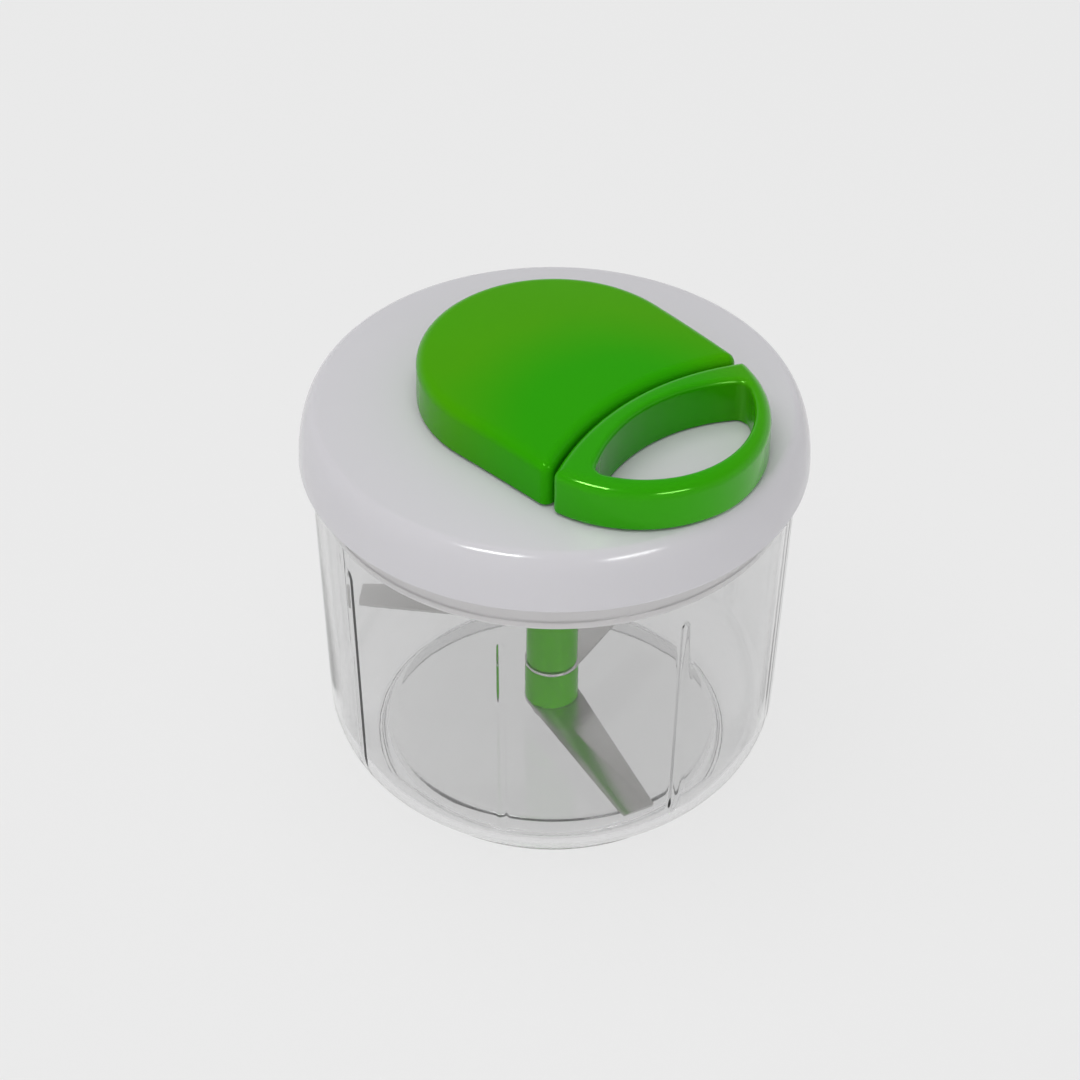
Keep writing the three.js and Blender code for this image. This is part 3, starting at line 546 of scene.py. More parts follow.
@dataclass(frozen=True)
class Plastic:
    """Opaque moulded plastic, with painted warm light laid on its edges where a second colour is given."""

    name: str
    colour: Colour
    gloss: Gloss
    # Painted warm light: the second colour is laid on the faces away from the given point, standing in for
    # warm light at the edges.
    painted_warm_colour: Colour | None = None
    painted_warm_spot: tuple[Place, float, float] = ((0.03, -0.008, 0.116), 0.022, 0.048)
    specular: float = 0.5
    tint: Colour = (1, 1, 1)
    drift: float = 0.05
    smudge: float = 0.06
    hairlines: float = 0.05
    ripple: float = 0.00002

    def build(self) -> bpy.types.Material:
        """Makes the material.

        Returns:
            The material.
        """
        made, tree, result = new_material(self.name)
        # The mask paints warm light on the edges away from the given point.
        skin = place(tree, "ShaderNodeGroup", {
            "Colour": (*self.colour, 1), "Painted_Light_Colour": (*(self.painted_warm_colour or self.colour), 1),
            "Painted_Light_Share": near_mask(tree, *self.painted_warm_spot) if self.painted_warm_colour else 0.0, "Drift": self.drift,
            "Roughness": self.gloss.value, "Smudge": self.smudge, "Hairlines": self.hairlines,
            "Ripple": self.ripple,
        }, node_tree=bpy.data.node_groups["moulded_skin"])
        shader = place(tree, "ShaderNodeBsdfPrincipled", {
            "Base Color": skin.outputs["Colour"], "Roughness": skin.outputs["Roughness"],
            "Normal": skin.outputs["Normal"], "Specular IOR Level": self.specular,
            "Specular Tint": (*self.tint, 1), "IOR": 1.5,
        })
        tree.links.new(shader.outputs[0], result.inputs["Surface"])
        return made


@dataclass(frozen=True)
class ClearPlastic:
    """Clear moulded plastic that lets the lamps reach what it holds, with a painted shadow and more
    roughness on its floor.
    """

    name: str
    colour: Colour
    # Painted shadow: the darker colour laid on the bowl's floor stands in for the shade under the bowl.
    floor_shadow_colour: Colour
    floor_shadow_spot: tuple[Place, float, float] = ((0, 0, 0.009), 0.042, 0.047)
    floor_roughness: float = 0.06
    roughness: float = 0.02
    index: float = 1.38
    shadow: Colour = (0.96, 0.96, 0.96)
    drift: float = 0.02
    smudge: float = 0.02
    ripple: float = 0.000008

    def build(self) -> bpy.types.Material:
        """Makes the material.

        Returns:
            The material.
        """
        made, tree, result = new_material(self.name)
        # Painted shadow on the floor, where the mask is 1; the same mask also raises the roughness there.
        floor_shadow_mask = maths(tree, "SUBTRACT", 1.0, near_mask(tree, *self.floor_shadow_spot))
        skin = place(tree, "ShaderNodeGroup", {
            "Colour": (*self.colour, 1), "Painted_Light_Colour": (*self.floor_shadow_colour, 1), "Painted_Light_Share": floor_shadow_mask, "Drift": self.drift,
            "Roughness": self.roughness, "Smudge": self.smudge, "Hairlines": 0.0, "Ripple": self.ripple,
        }, node_tree=bpy.data.node_groups["moulded_skin"])
        rough = maths(tree, "MULTIPLY_ADD", floor_shadow_mask, self.floor_roughness, skin.outputs["Roughness"])
        shader = place(tree, "ShaderNodeBsdfPrincipled", {
            "Base Color": skin.outputs["Colour"], "Roughness": rough,
            "Normal": skin.outputs["Normal"], "Transmission Weight": 1.0, "IOR": self.index,
        })
        path = place(tree, "ShaderNodeLightPath")
        passing = maths(tree, "MAXIMUM", path.outputs["Is Shadow Ray"], path.outputs["Is Diffuse Ray"])
        thin = place(tree, "ShaderNodeBsdfTransparent", {"Color": (*self.shadow, 1)})
        mixed = place(tree, "ShaderNodeMixShader", {0: passing, 1: shader.outputs[0], 2: thin.outputs[0]})
        tree.links.new(mixed.outputs[0], result.inputs["Surface"])
        return made


@dataclass(frozen=True)
class Metal:
    """Worked metal whose streaks run along X once it is turned."""

    name: str
    colour: Colour
    roughness: float
    turn: float = 0.0
    streaks: float = 0.1
    stain: float = 0.06

    def build(self) -> bpy.types.Material:
        """Makes the material.

        Returns:
            The material.
        """
        made, tree, result = new_material(self.name)
        skin = place(tree, "ShaderNodeGroup", {
            "Colour": (*self.colour, 1), "Streaks": self.streaks, "Roughness": self.roughness,
            "Stain": self.stain, "Turn": -math.radians(self.turn),
        }, node_tree=bpy.data.node_groups["metal_skin"])
        shader = place(tree, "ShaderNodeBsdfPrincipled", {
            "Base Color": skin.outputs["Colour"], "Roughness": skin.outputs["Roughness"],
            "Normal": skin.outputs["Normal"], "Metallic": 1.0,
        })
        tree.links.new(shader.outputs[0], result.inputs["Surface"])
        return made


@dataclass(frozen=True)
class Braid:
    """Braided cord whose strands follow the piece's own "lay" attribute, with painted shade where the
    strands dip.
    """

    name: str
    colour: Colour
    strands: int = 6
    pitch: float = 2.6
    depth: float = 0.00018
    shade: float = 0.75
    groove_shade: float = 0.18
    fuzz: float = 0.1

    def build(self) -> bpy.types.Material:
        """Makes the material. "lay" holds the length along the cord and the direction round it.

        Returns:
            The material.
        """
        made, tree, result = new_material(self.name)
        lay = place(tree, "ShaderNodeAttribute", attribute_name="lay").outputs["Vector"]
        parts = place(tree, "ShaderNodeSeparateXYZ", {0: lay}).outputs
        around = maths(tree, "MULTIPLY", maths(tree, "ARCTAN2", parts[2], parts[1]), float(self.strands))
        along = maths(tree, "MULTIPLY", parts[0], TAU / self.pitch)
        left = maths(tree, "SINE", maths(tree, "ADD", around, along))
        right = maths(tree, "SINE", maths(tree, "SUBTRACT", around, along))
        over = maths(tree, "MAXIMUM", left, right)
        spot = place(tree, "ShaderNodeTexCoord").outputs["Object"]
        fuzz = place(tree, "ShaderNodeTexNoise", {"Vector": spot, "Scale": 2600.0}).outputs["Fac"]
        level = maths(tree, "MULTIPLY_ADD", fuzz, self.fuzz, self.shade)
        # Painted shade: the colour darkens where the strands dip under each other.
        shade = maths(tree, "MULTIPLY_ADD", over, self.groove_shade, level)
        tone = place(tree, "ShaderNodeHueSaturation", {"Color": (*self.colour, 1), "Value": shade})
        bump = place(tree, "ShaderNodeBump", {"Strength": 1.0, "Distance": self.depth, "Height": over})
        shader = place(tree, "ShaderNodeBsdfPrincipled", {
            "Base Color": tone.outputs["Color"], "Roughness": 0.8, "Normal": bump.outputs["Normal"],
            "Sheen Weight": 0.3, "Specular IOR Level": 0.3,
        })
        tree.links.new(shader.outputs[0], result.inputs["Surface"])
        return made


@dataclass(frozen=True)
class Finishes:
    """Every finish on the object, built once."""

    clear: bpy.types.Material
    white: bpy.types.Material
    # Painted light: a brighter copy of the white plastic for the inner cover.
    inner: bpy.types.Material
    green: bpy.types.Material
    handle: bpy.types.Material
    hub: bpy.types.Material
    blades: tuple[bpy.types.Material, ...]
    steel: bpy.types.Material
    grey: bpy.types.Material
    silicone: bpy.types.Material
    cord: bpy.types.Material


GREEN = (0.026, 0.36, 0.0015)
# Painted warm light: the yellower green laid on the edges of the green housing and handle.
PAINTED_WARM_GREEN = (0.07, 0.36, 0.0015)
HUB_GREEN = (0.07, 0.37, 0.0015)
GREEN_GLINT = (0.3, 1.0, 0.1)
HANDLE_GLINT = (0.42, 1.0, 0.2)


def make_finishes(blade_turns: Sequence[float]) -> Finishes:
    """Builds the shader groups and the materials.

    Args:
        blade_turns: the blades' angles in degrees, which their grinding marks follow.

    Returns:
        The materials.
    """
    moulded_skin()
    metal_skin()
    return Finishes(
        # The clear plastic's second colour is a painted shadow on the bowl's floor.
        clear=ClearPlastic("clear_plastic", (0.838, 0.838, 0.84), (0.765, 0.765, 0.765)).build(),
        # Painted light: the inner cover is the same white plastic as the shell, painted brighter to make up
        # for the shade that the skirt and the bowl cast on it.
        inner=Plastic(
            "white_plastic_painted_brighter", (0.8, 0.785, 0.79), Gloss.SATIN, specular=0.3, drift=0.03).build(),
        white=Plastic(
            "white_plastic", (0.665, 0.655, 0.685), Gloss.SATIN, specular=0.24, smudge=0.04, hairlines=0.04,
            drift=0.03).build(),
        # The housing and the handle carry painted warm light on their edges.
        green=Plastic(
            "green_plastic", GREEN, Gloss.BRIGHT, PAINTED_WARM_GREEN, specular=0.13, tint=GREEN_GLINT, drift=0.08,
            ripple=0.00004).build(),
        handle=Plastic(
            "green_handle_plastic", GREEN, Gloss.POLISHED, PAINTED_WARM_GREEN, specular=0.44, tint=HANDLE_GLINT,
            drift=0.06, ripple=0.00007).build(),
        hub=Plastic(
            "green_hub_plastic", HUB_GREEN, Gloss.POLISHED, specular=0.14, tint=GREEN_GLINT, drift=0.12,
            ripple=0.00004).build(),
        blades=tuple(
            Metal(f"blade_steel_{i + 1}", (0.55, 0.545, 0.535), 0.24, turn=turn, streaks=0.05).build()
            for i, turn in enumerate(blade_turns)),
        steel=Metal("small_steel", (0.55, 0.55, 0.54), 0.22, streaks=0.12).build(),
        grey=Plastic("grey_plastic", (0.2, 0.205, 0.215), Gloss.MATT).build(),
        silicone=Plastic("silicone", (0.6, 0.6, 0.62), Gloss.MATT, specular=0.4).build(),
        cord=Braid("braided_cord", (0.82, 0.82, 0.79)).build(),
    )


def piece(
    name: str, bm: bmesh.types.BMesh, material: bpy.types.Material, slot: str, body: str | None,
    *nodes: str,
) -> bpy.types.Object:
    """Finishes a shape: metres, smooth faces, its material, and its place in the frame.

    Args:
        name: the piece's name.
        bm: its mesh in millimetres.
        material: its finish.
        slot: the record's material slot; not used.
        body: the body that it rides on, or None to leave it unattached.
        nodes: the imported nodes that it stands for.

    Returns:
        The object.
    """
    moved(bm, Matrix.Scale(MM, 4))
    made = loose(name, bm)
    mesh = made.data
    mesh.materials.clear()
    mesh.materials.append(material)
    mesh.polygons.foreach_set("material_index", [0] * len(mesh.polygons))
    mesh.shade_smooth()
    mesh.set_sharp_from_angle(angle=SHARP)
    if body:
        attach(made, body)
    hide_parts(*nodes)
    log.info("%s: %d faces, for %s", name, len(mesh.polygons), ", ".join(nodes))
    return made


# Bowl


@dataclass
class Bowl:
    """Clear bowl with inner ribs, a rounded corner, a raised floor, a foot ring and a boss."""

    finishes: Finishes
    height: float = 99.5
    rim: float = 61.4
    waist: float = 58.3
    corner: float = 22.0
    wall: float = 2.2
    foot_outer: float = 46.4
    foot_inner: float = 44.4
    foot_height: float = 6.5
    floor: float = 42.4
    floor_top: float = 9.1
    trough: tuple[float, float] = (45.6, 4.6)
    recess: float = 43.2
    boss: float = 5.0
    boss_top: float = 12.4
    pin: float = 2.0
    pin_length: float = 40.0
    pin_depth: float = 4.0
    gap: float = 0.3
    ribs: int = 8
    rib_phase: float = -11.9
    rib_half: float = 1.65
    rib_edge: float = 1.45
    rib_depth: float = 0.25
    rib_top: float = 81.5
    rib_top_run: float = 3.0
    rib_bottom: float = 15.0
    rib_bottom_run: float = 3.5
    rib_zone: float = 4.4
    rib_steps: int = 22
    plain_steps: int = 12

    def outer_at(self, z: float) -> float:
        """Outside radius of the straight wall at a height."""
        return self.waist + (self.rim - self.waist) * (z - self.corner) / (self.height - self.corner)

    def wall_heights(self) -> list[float]:
        """Heights down the inner wall, close together where the ribs begin.

        Returns:
            The heights from the top down, without the corner's own.
        """
        fine = [self.rib_top + 0.3 - i * 0.25 for i in range(16)]
        low = fine[-1]
        plain = [low + (self.corner - low) * i / 8 for i in range(1, 8)]
        return fine + plain

    def profile(self) -> list[Point]:
        """The bowl's section, from the axis under the floor round to the pin's hole.

        Returns:
            The section's points.
        """
        centre = self.waist - self.corner
        inner = self.corner - self.wall
        foot_turn = -math.acos((self.foot_outer - centre) / self.corner)
        trough_turn = -math.acos((self.foot_outer - centre) / inner)
        outside = arc(centre, self.corner, self.corner, foot_turn, 0, 26)
        inside = arc(centre, self.corner, inner, 0, trough_turn, 40)
        hole = self.pin + self.gap
        socket = self.boss_top - self.pin_depth - self.gap
        under = eased([
            (0, self.foot_height), (self.recess, self.foot_height, 0.9),
            (self.foot_inner, 0, 0.45), (self.foot_outer, 0, 0.9), outside[0],
        ])
        rim = eased([
            (self.waist, self.corner), (self.rim, self.height, 0.7),
            (self.rim - self.wall, self.height, 0.7), (self.waist - self.wall, self.corner),
        ])
        heights = [(self.outer_at(z) - self.wall, z) for z in self.wall_heights()]
        floor = eased([
            inside[-1], (*self.trough, 1.2), (self.floor, self.floor_top, 2.0),
            (self.boss, self.floor_top, 0.6), (self.boss - 0.4, self.boss_top, 0.4),
            (hole, self.boss_top, 0.2), (hole, socket), (0, socket),
        ])
        return under[:-1] + outside[:-1] + rim[:-1] + heights + inside[:-1] + floor

    def rib_share(self, across: float, reach: float) -> float:
        """Height of a rib, from 0 to 1, at a distance from its middle. It narrows with its reach."""
        half = self.rib_half * (0.6 + 0.4 * reach)
        return smooth((half - abs(across)) / min(self.rib_edge, half))

    def rib_reach(self, z: float) -> float:
        """How far the ribs stand out, from 0 to 1, at a height."""
        return smooth(min(
            (self.rib_top - z) / self.rib_top_run, (z - self.rib_bottom) / self.rib_bottom_run))

    def on_inside(self, radius: float, z: float) -> bool:
        """Whether a point lies on the inner wall or on the inside of the rounded corner.

        Args:
            radius: the point's distance from the axis.
            z: its height.

        Returns:
            True where the ribs can raise it.
        """
        if z > self.corner:
            return radius <= self.outer_at(z) - self.wall / 2
        reach = math.hypot(radius - (self.waist - self.corner), z - self.corner)
        return radius > self.foot_outer and abs(reach - (self.corner - self.wall)) < self.gap

    def shell(self) -> bmesh.types.BMesh:
        """Spins the section in narrow steps over each rib and wide ones between, then raises the ribs.

        Returns:
            The closed mesh.
        """
        bm = bmesh.new()
        verts = [bm.verts.new((r, 0, z)) for r, z in self.profile()]
        edges = [bm.edges.new(pair) for pair in zip(verts, verts[1:])]
        start = math.radians(self.rib_phase - self.rib_zone / 2)
        bmesh.ops.rotate(bm, cent=(0, 0, 0), matrix=Matrix.Rotation(start, 3, "Z"), verts=verts)
        last = verts + edges
        zones = [(self.rib_zone, self.rib_steps), (360 / self.ribs - self.rib_zone, self.plain_steps)]
        for degrees, steps in zones * self.ribs:
            last = bmesh.ops.spin(
                bm, geom=last, cent=(0, 0, 0), axis=(0, 0, 1), angle=math.radians(degrees), steps=steps,
                use_duplicate=False)["geom_last"]
        pitch = TAU / self.ribs
        for vert in bm.verts:
            x, y, z = vert.co
            radius = math.hypot(x, y)
            if not self.rib_bottom < z < self.rib_top or not self.on_inside(radius, z):
                continue
            turn = math.atan2(y, x) - math.radians(self.rib_phase)
            off = (turn + pitch / 2) % pitch - pitch / 2
            reach = self.rib_reach(z)
            depth = self.rib_depth * self.rib_share(off * radius, reach) * reach
            vert.co.xy = vert.co.xy * (radius - depth) / radius
        return tidied(bm)

    def build(self) -> None:
        """Makes the bowl and its pin."""
        piece("ribbed_bowl", self.shell(), self.finishes.clear, "clear_plastic", "bowl", "bowl")
        low = self.boss_top - self.pin_depth
        high = low + self.pin_length
        pin = turned(eased([(0, low), (self.pin, low, 0.25), (self.pin, high, 1.2), (0, high)]), 40)
        piece("bowl_pivot_pin", pin, self.finishes.steel, "small_steel", "bowl", "pivot_pin")


# Blade unit


@dataclass
class BladeUnit:
    """Hub of a square bar with three sleeves, and the three blades clamped between them."""

    finishes: Finishes
    turns: tuple[float, ...]
    hub: float = 7.1
    upper_hub: float = 6.8
    bar: float = 8.4
    gap: float = 0.3
    pin: float = 2.0
    pin_room: float = 1.0
    flange: float = 0.7
    hex_across: float = 9.0
    hex_length: float = 9.5
    hex_edge: float = 0.45
    relief: float = 1.1
    root_lip: float = 0.1
    tip: float = 4.4
    slant: float = 0.6
    longer: float = 0.4
    ground: float = 1.9
    ground_left: float = 0.3
    tip_corner: float = 1.0

    def square(self, z0: float, z1: float) -> bmesh.types.BMesh:
        """Tool for the square bore through a sleeve or blade."""
        return raised(flats(self.bar + self.gap, 4), z0, z1)

    def sleeve(self, node: str, radius: float) -> bmesh.types.BMesh:
        """A short sleeve with softly rounded ends.

        Args:
            node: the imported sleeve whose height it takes.
            radius: its outside radius.

        Returns:
            The sleeve in its place.
        """
        low, high = box_mm(node)
        body = turned(eased([(0, low.z), (radius, low.z, 0.35), (radius, high.z, 0.35), (0, high.z)]), 96)
        return worked(body, self.square(low.z - OVERRUN, high.z + OVERRUN))

    def upper_sleeve(self) -> bmesh.types.BMesh:
        """The long sleeve, whose top end is the hexagon that the lid drives.

        Returns:
            The sleeve in its place.
        """
        low, high = box_mm("upper_sleeve")
        shoulder = high.z - self.hex_length
        body = turned(eased([
            (0, low.z), (self.upper_hub, low.z, 0.35), (self.upper_hub, shoulder, 0.5), (0, shoulder)]), 96)
        key = bevelled(raised(flats(self.hex_across, 6), shoulder - BITE, high.z), self.hex_edge)
        top = box_mm("hub_spindle")[1].z
        relief = disc(self.relief, top, high.z + OVERRUN, 24)
        return worked(
            worked(body, key, how=Join.ADD), self.square(low.z - OVERRUN, top + self.gap), relief)

    def spindle(self) -> bmesh.types.BMesh:
        """The square bar on its round flange, bored for the bowl's pin.

        Returns:
            The bar in its place.
        """
        low, high = box_mm("hub_spindle")
        pin_top = box_mm("pivot_pin")[1].z
        foot = self.hub - self.gap
        flange = turned(eased([
            (0, low.z), (foot, low.z, 0.2), (foot, low.z + self.flange, 0.2),
            (0, low.z + self.flange)]), 72)
        bar = raised(flats(self.bar, 4), low.z + self.flange / 2, high.z)
        bore = disc(self.pin + self.gap, low.z - OVERRUN, pin_top + self.pin_room, 32)
        return worked(worked(flange, bar, how=Join.ADD), bore)

    def length(self) -> float:
        """Blade length, from the middle of the hub to the cutting corner.

        Returns:
            The length in millimetres.
        """
        far = box_mm("lower_blade")[1].x
        turn = math.radians(self.turns[0])
        return (far + self.tip * math.sin(turn)) / math.cos(turn) + self.longer

    def blade(self, node: str, degrees: float) -> bmesh.types.BMesh:
        """A tapered blade with a round root, a slanted tip, one rounded corner and one ground edge.

        Args:
            node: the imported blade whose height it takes.
            degrees: its angle from the pull direction.

        Returns:
            The blade in its place.
        """
        low, high = box_mm(node)
        thick = high.z - low.z
        root = self.hub + self.root_lip
        reach = self.length()
        turn = math.acos((root - self.tip) / reach)
        side_x, side_y = root * math.cos(turn), root * math.sin(turn)
        tip = eased([
            (side_x, -side_y), (reach, -self.tip, 0.25), (reach - self.slant, self.tip, self.tip_corner),
            (side_x, side_y),
        ])
        outline = arc(0, 0, root, turn, TAU - turn, 40) + tip[1:-1]
        bm = raised(outline, 0, thick)
        edge = Vector((reach - side_x, side_y - self.tip, 0)).normalized()
        inward = Vector((-edge.y, edge.x, 0))
        corner = Vector((reach, -self.tip, 0))
        bmesh.ops.bisect_plane(
            bm, geom=bm.verts[:] + bm.edges[:] + bm.faces[:], plane_co=corner + inward * self.ground,
            plane_no=inward)
        fall = thick * (1 - self.ground_left) / self.ground
        for vert in bm.verts:
            beyond = self.ground - (vert.co - corner).dot(inward)
            if vert.co.x > 0 and beyond > 1e-5 and vert.co.z > thick / 2:
                vert.co.z -= min(beyond, self.ground) * fall
        spin = Matrix.Rotation(math.radians(degrees), 4, "Z")
        bore = moved(self.square(-OVERRUN, thick + OVERRUN), spin.transposed())
        return moved(worked(bm, bore), Matrix.Translation((0, 0, low.z)) @ spin)

    def build(self) -> None:
        """Makes the spindle, the sleeves and the blades."""
        green, body = self.finishes.hub, "blade_unit"
        piece("hub_square_bar", self.spindle(), self.finishes.white, "white_plastic", body, "hub_spindle")
        sleeves = {
            "lower_sleeve": self.sleeve("lower_sleeve", self.hub),
            "middle_sleeve": self.sleeve("middle_sleeve", self.upper_hub),
            "upper_sleeve": self.upper_sleeve(),
        }
        for node, shape in sleeves.items():
            piece(f"hub_{node}", shape, green, "green_plastic", body, node)
        nodes = ("lower_blade", "middle_blade", "upper_blade")
        for node, degrees, steel in zip(nodes, self.turns, self.finishes.blades):
            piece(f"ground_{node}", self.blade(node, degrees), steel, "blade_steel", body, node)


# Lid


def spots(radius: float, degrees: Sequence[float]) -> list[Point]:
    """Points on a circle by their angles from the pull direction."""
    return [(radius * math.cos(turn), radius * math.sin(turn)) for turn in map(math.radians, degrees)]


@dataclass
class LidForm:
    """The lid's outer form, which the green parts sit on, and the screws between them."""

    radius: float = 64.0
    skirt: float = 94.4
    height: float = 15.0
    shoulder: float = 58.8
    rise: float = 2.3
    screw_circle: float = 27.5
    screw_turns: tuple[float, ...] = (35, 145, 215, 325)
    pilot: float = 1.4

    def surface(self, radius: float, drop: float = 0) -> float:
        """Height of the top, or of a surface inside it.

        Args:
            radius: distance from the axis.
            drop: how far inside the top the surface lies.

        Returns:
            The height.
        """
        if radius <= self.shoulder:
            return self.skirt + self.height - drop + self.rise * (1 - (radius / self.shoulder) ** 2)
        across = min(1.0, (radius - self.shoulder) / (self.radius - self.shoulder - drop))
        return self.skirt + (self.height - drop) * math.sqrt(1 - across ** 2)

    def line(self, drop: float, inner: float) -> list[Point]:
        """Section of the outside or the inside, from the skirt up over the shoulder.

        Args:
            drop: how far inside the outer form the section lies.
            inner: the radius where it ends.

        Returns:
            The section's points.
        """
        reach = self.radius - self.shoulder - drop
        side = [
            (self.shoulder + reach * c, self.skirt + (self.height - drop) * s)
            for c, s in arc(0, 0, 1, 0, math.pi / 2, 28)]
        radii = [self.shoulder + (inner - self.shoulder) * i / 14 for i in range(1, 15)]
        return side + [(r, self.surface(r, drop)) for r in radii]


@dataclass
class Lid:
    """White lid shell, the inner cover that plugs into the bowl, its seal and the small screws."""

    finishes: Finishes
    form: LidForm
    wall: float = 2.2
    hole: float = 4.9
    boss: float = 3.4
    boss_circle: float = 47.0
    boss_turns: tuple[float, ...] = (60, 180, 300)
    plate: float = 99.8
    plate_thick: float = 2.0
    plate_gap: float = 1.6
    collar: float = 58.05
    collar_length: float = 15.2
    bead: float = 2.6
    bead_depth: float = 0.3
    seal_step: float = 4.0
    seal_height: float = 2.4
    seal_depth: float = 1.5
    seal_outer: float = 58.66
    neck: float = 9.3
    gap: float = 0.3
    head: float = 2.3
    head_height: float = 1.3
    recess: Place = (1.3, 0.28, 0.75)
    screw: float = 1.1
    thread_pitch: float = 0.5
    thread_depth: float = 0.2

    def shell(self) -> bmesh.types.BMesh:
        """The domed shell with its screw bosses, bored for the drive and the screws.

        Returns:
            The shell.
        """
        form = self.form
        outside, inside = form.line(0, self.hole), form.line(self.wall, self.hole)
        edge = eased([outside[1], (*outside[0], 0.45), (*inside[0], 0.3), inside[1]], hold=TIGHT)
        body = turned(outside[:0:-1] + edge[1:-1] + inside[1:], 240)
        foot = self.plate + self.plate_thick + self.gap
        roof = form.surface(self.boss_circle, self.wall)
        screws = spots(self.boss_circle, self.boss_turns)
        bosses = [disc(self.boss, foot, roof + BITE, 32, spot) for spot in screws]
        pilots = [disc(form.pilot, self.plate, roof - self.wall, 20, spot) for spot in screws]
        holes = [
            disc(form.pilot, foot, form.surface(0) + OVERRUN, 20, spot)
            for spot in spots(form.screw_circle, form.screw_turns)]
        return worked(worked(body, *bosses, how=Join.ADD), *pilots, *holes)

    def cover(self) -> bmesh.types.BMesh:
        """The plate with its plug wall, the groove for the seal and the neck round the drive.

        Returns:
            The inner cover.
        """
        low, top = self.plate - self.collar_length, self.plate + self.plate_thick
        half = self.plate - self.collar_length / 2
        inner, deep = self.collar - self.wall, self.collar - self.seal_depth
        back, hollow = inner - self.seal_depth, self.collar - self.bead_depth
        groove = self.plate - self.seal_step
        lip, shelf = groove - self.seal_height - self.gap, groove - self.seal_height - self.wall
        rim = self.form.radius - self.wall - self.plate_gap
        body = turned(eased([
            (self.neck, half, 0.3), (self.neck + self.wall / 2, half, 0.3),
            (self.neck + self.wall, self.plate, 0.6), (back, self.plate, 0.6), (back, shelf, 0.4),
            (inner, shelf, 0.5), (inner, low, 0.5), (self.collar, low, self.bead * 0.45),
            (self.collar, low + self.bead, 0.5), (hollow, low + self.bead, 0.4), (hollow, shelf, 0.4),
            (self.collar, shelf + self.bead_depth, 0.3), (self.collar, lip, 0.2), (deep, lip),
            (deep, groove + self.gap), (self.collar, groove + self.gap, 0.2),
            (self.collar, self.plate, 0.3), (rim, self.plate, 0.3), (rim, top, 0.5), (self.neck, top, 0.3),
        ], closed=True), 240)
        return worked(body, *(
            disc(self.form.pilot, self.plate - OVERRUN, top + OVERRUN, 24, spot)
            for spot in spots(self.boss_circle, self.boss_turns)))

    def seal(self) -> bmesh.types.BMesh:
        """The seal, with two lips that bulge towards the bowl.

        Returns:
            The closed mesh.
        """
        top = self.plate - self.seal_step
        low, outer = top - self.seal_height, self.seal_outer
        inner = self.collar - self.seal_depth + self.gap
        return turned(eased([
            (inner, low, 0.2), (outer - self.gap, low, 0.3), (outer, low + self.seal_height * 0.25, 0.3),
            (outer - 0.45, low + self.seal_height * 0.5, 0.3), (outer, low + self.seal_height * 0.75, 0.3),
            (outer - self.gap, top, 0.3), (inner, top, 0.2),
        ], closed=True, hold=TIGHT), 240)

    def screw_body(self, node: str) -> bmesh.types.BMesh:
        """A pan-head screw that points up, with a cross recess in its head and a turned thread.

        Args:
            node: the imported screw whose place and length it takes.

        Returns:
            The screw in its place.
        """
        low, high = box_mm(node)
        middle = (low + high) / 2
        seat, core = low.z + self.head_height, self.screw - self.thread_depth
        head = eased([
            (0, low.z), (self.head * 0.75, low.z, 0.3), (self.head, low.z + self.head_height * 0.55, 0.4),
            (self.head, seat, 0.1), (core, seat)], hold=TIGHT)
        thread = []
        for i in range(int((high.z - seat - 1.4) / self.thread_pitch)):
            z = seat + 0.4 + i * self.thread_pitch
            thread += [(core, z), (self.screw, z + self.thread_pitch / 2)]
        body = turned(head + thread + [(core, high.z - self.screw), (0, high.z)], 24)
        reach, half, deep = self.recess
        arms = ((reach, half), (half, reach))
        slots = [block((-x, -y, low.z - OVERRUN), (x, y, low.z + deep)) for x, y in arms]
        return moved(worked(body, *slots), Matrix.Translation((middle.x, middle.y, 0)))

    def build(self) -> None:
        """Makes the shell, the inner cover, the seal and the screws."""
        white = self.finishes.white
        piece("lid_top_shell", self.shell(), white, "white_plastic", "lid", "lid_shell")
        piece("lid_inner_cover", self.cover(), self.finishes.inner, "white_plastic", "lid", "lid_cover")
        piece("lid_seal_ring", self.seal(), self.finishes.silicone, "silicone", "lid", "lid_seal")
        counts = {"housing_screw": len(self.form.screw_turns), "cover_screw": len(self.boss_turns)}
        for node in (f"{kind}_{i + 1}" for kind, count in counts.items() for i in range(count)):
            screw = self.screw_body(node)
            piece(f"cross_head_{node}", screw, self.finishes.steel, "small_steel", "lid", node)


# Housing and handle


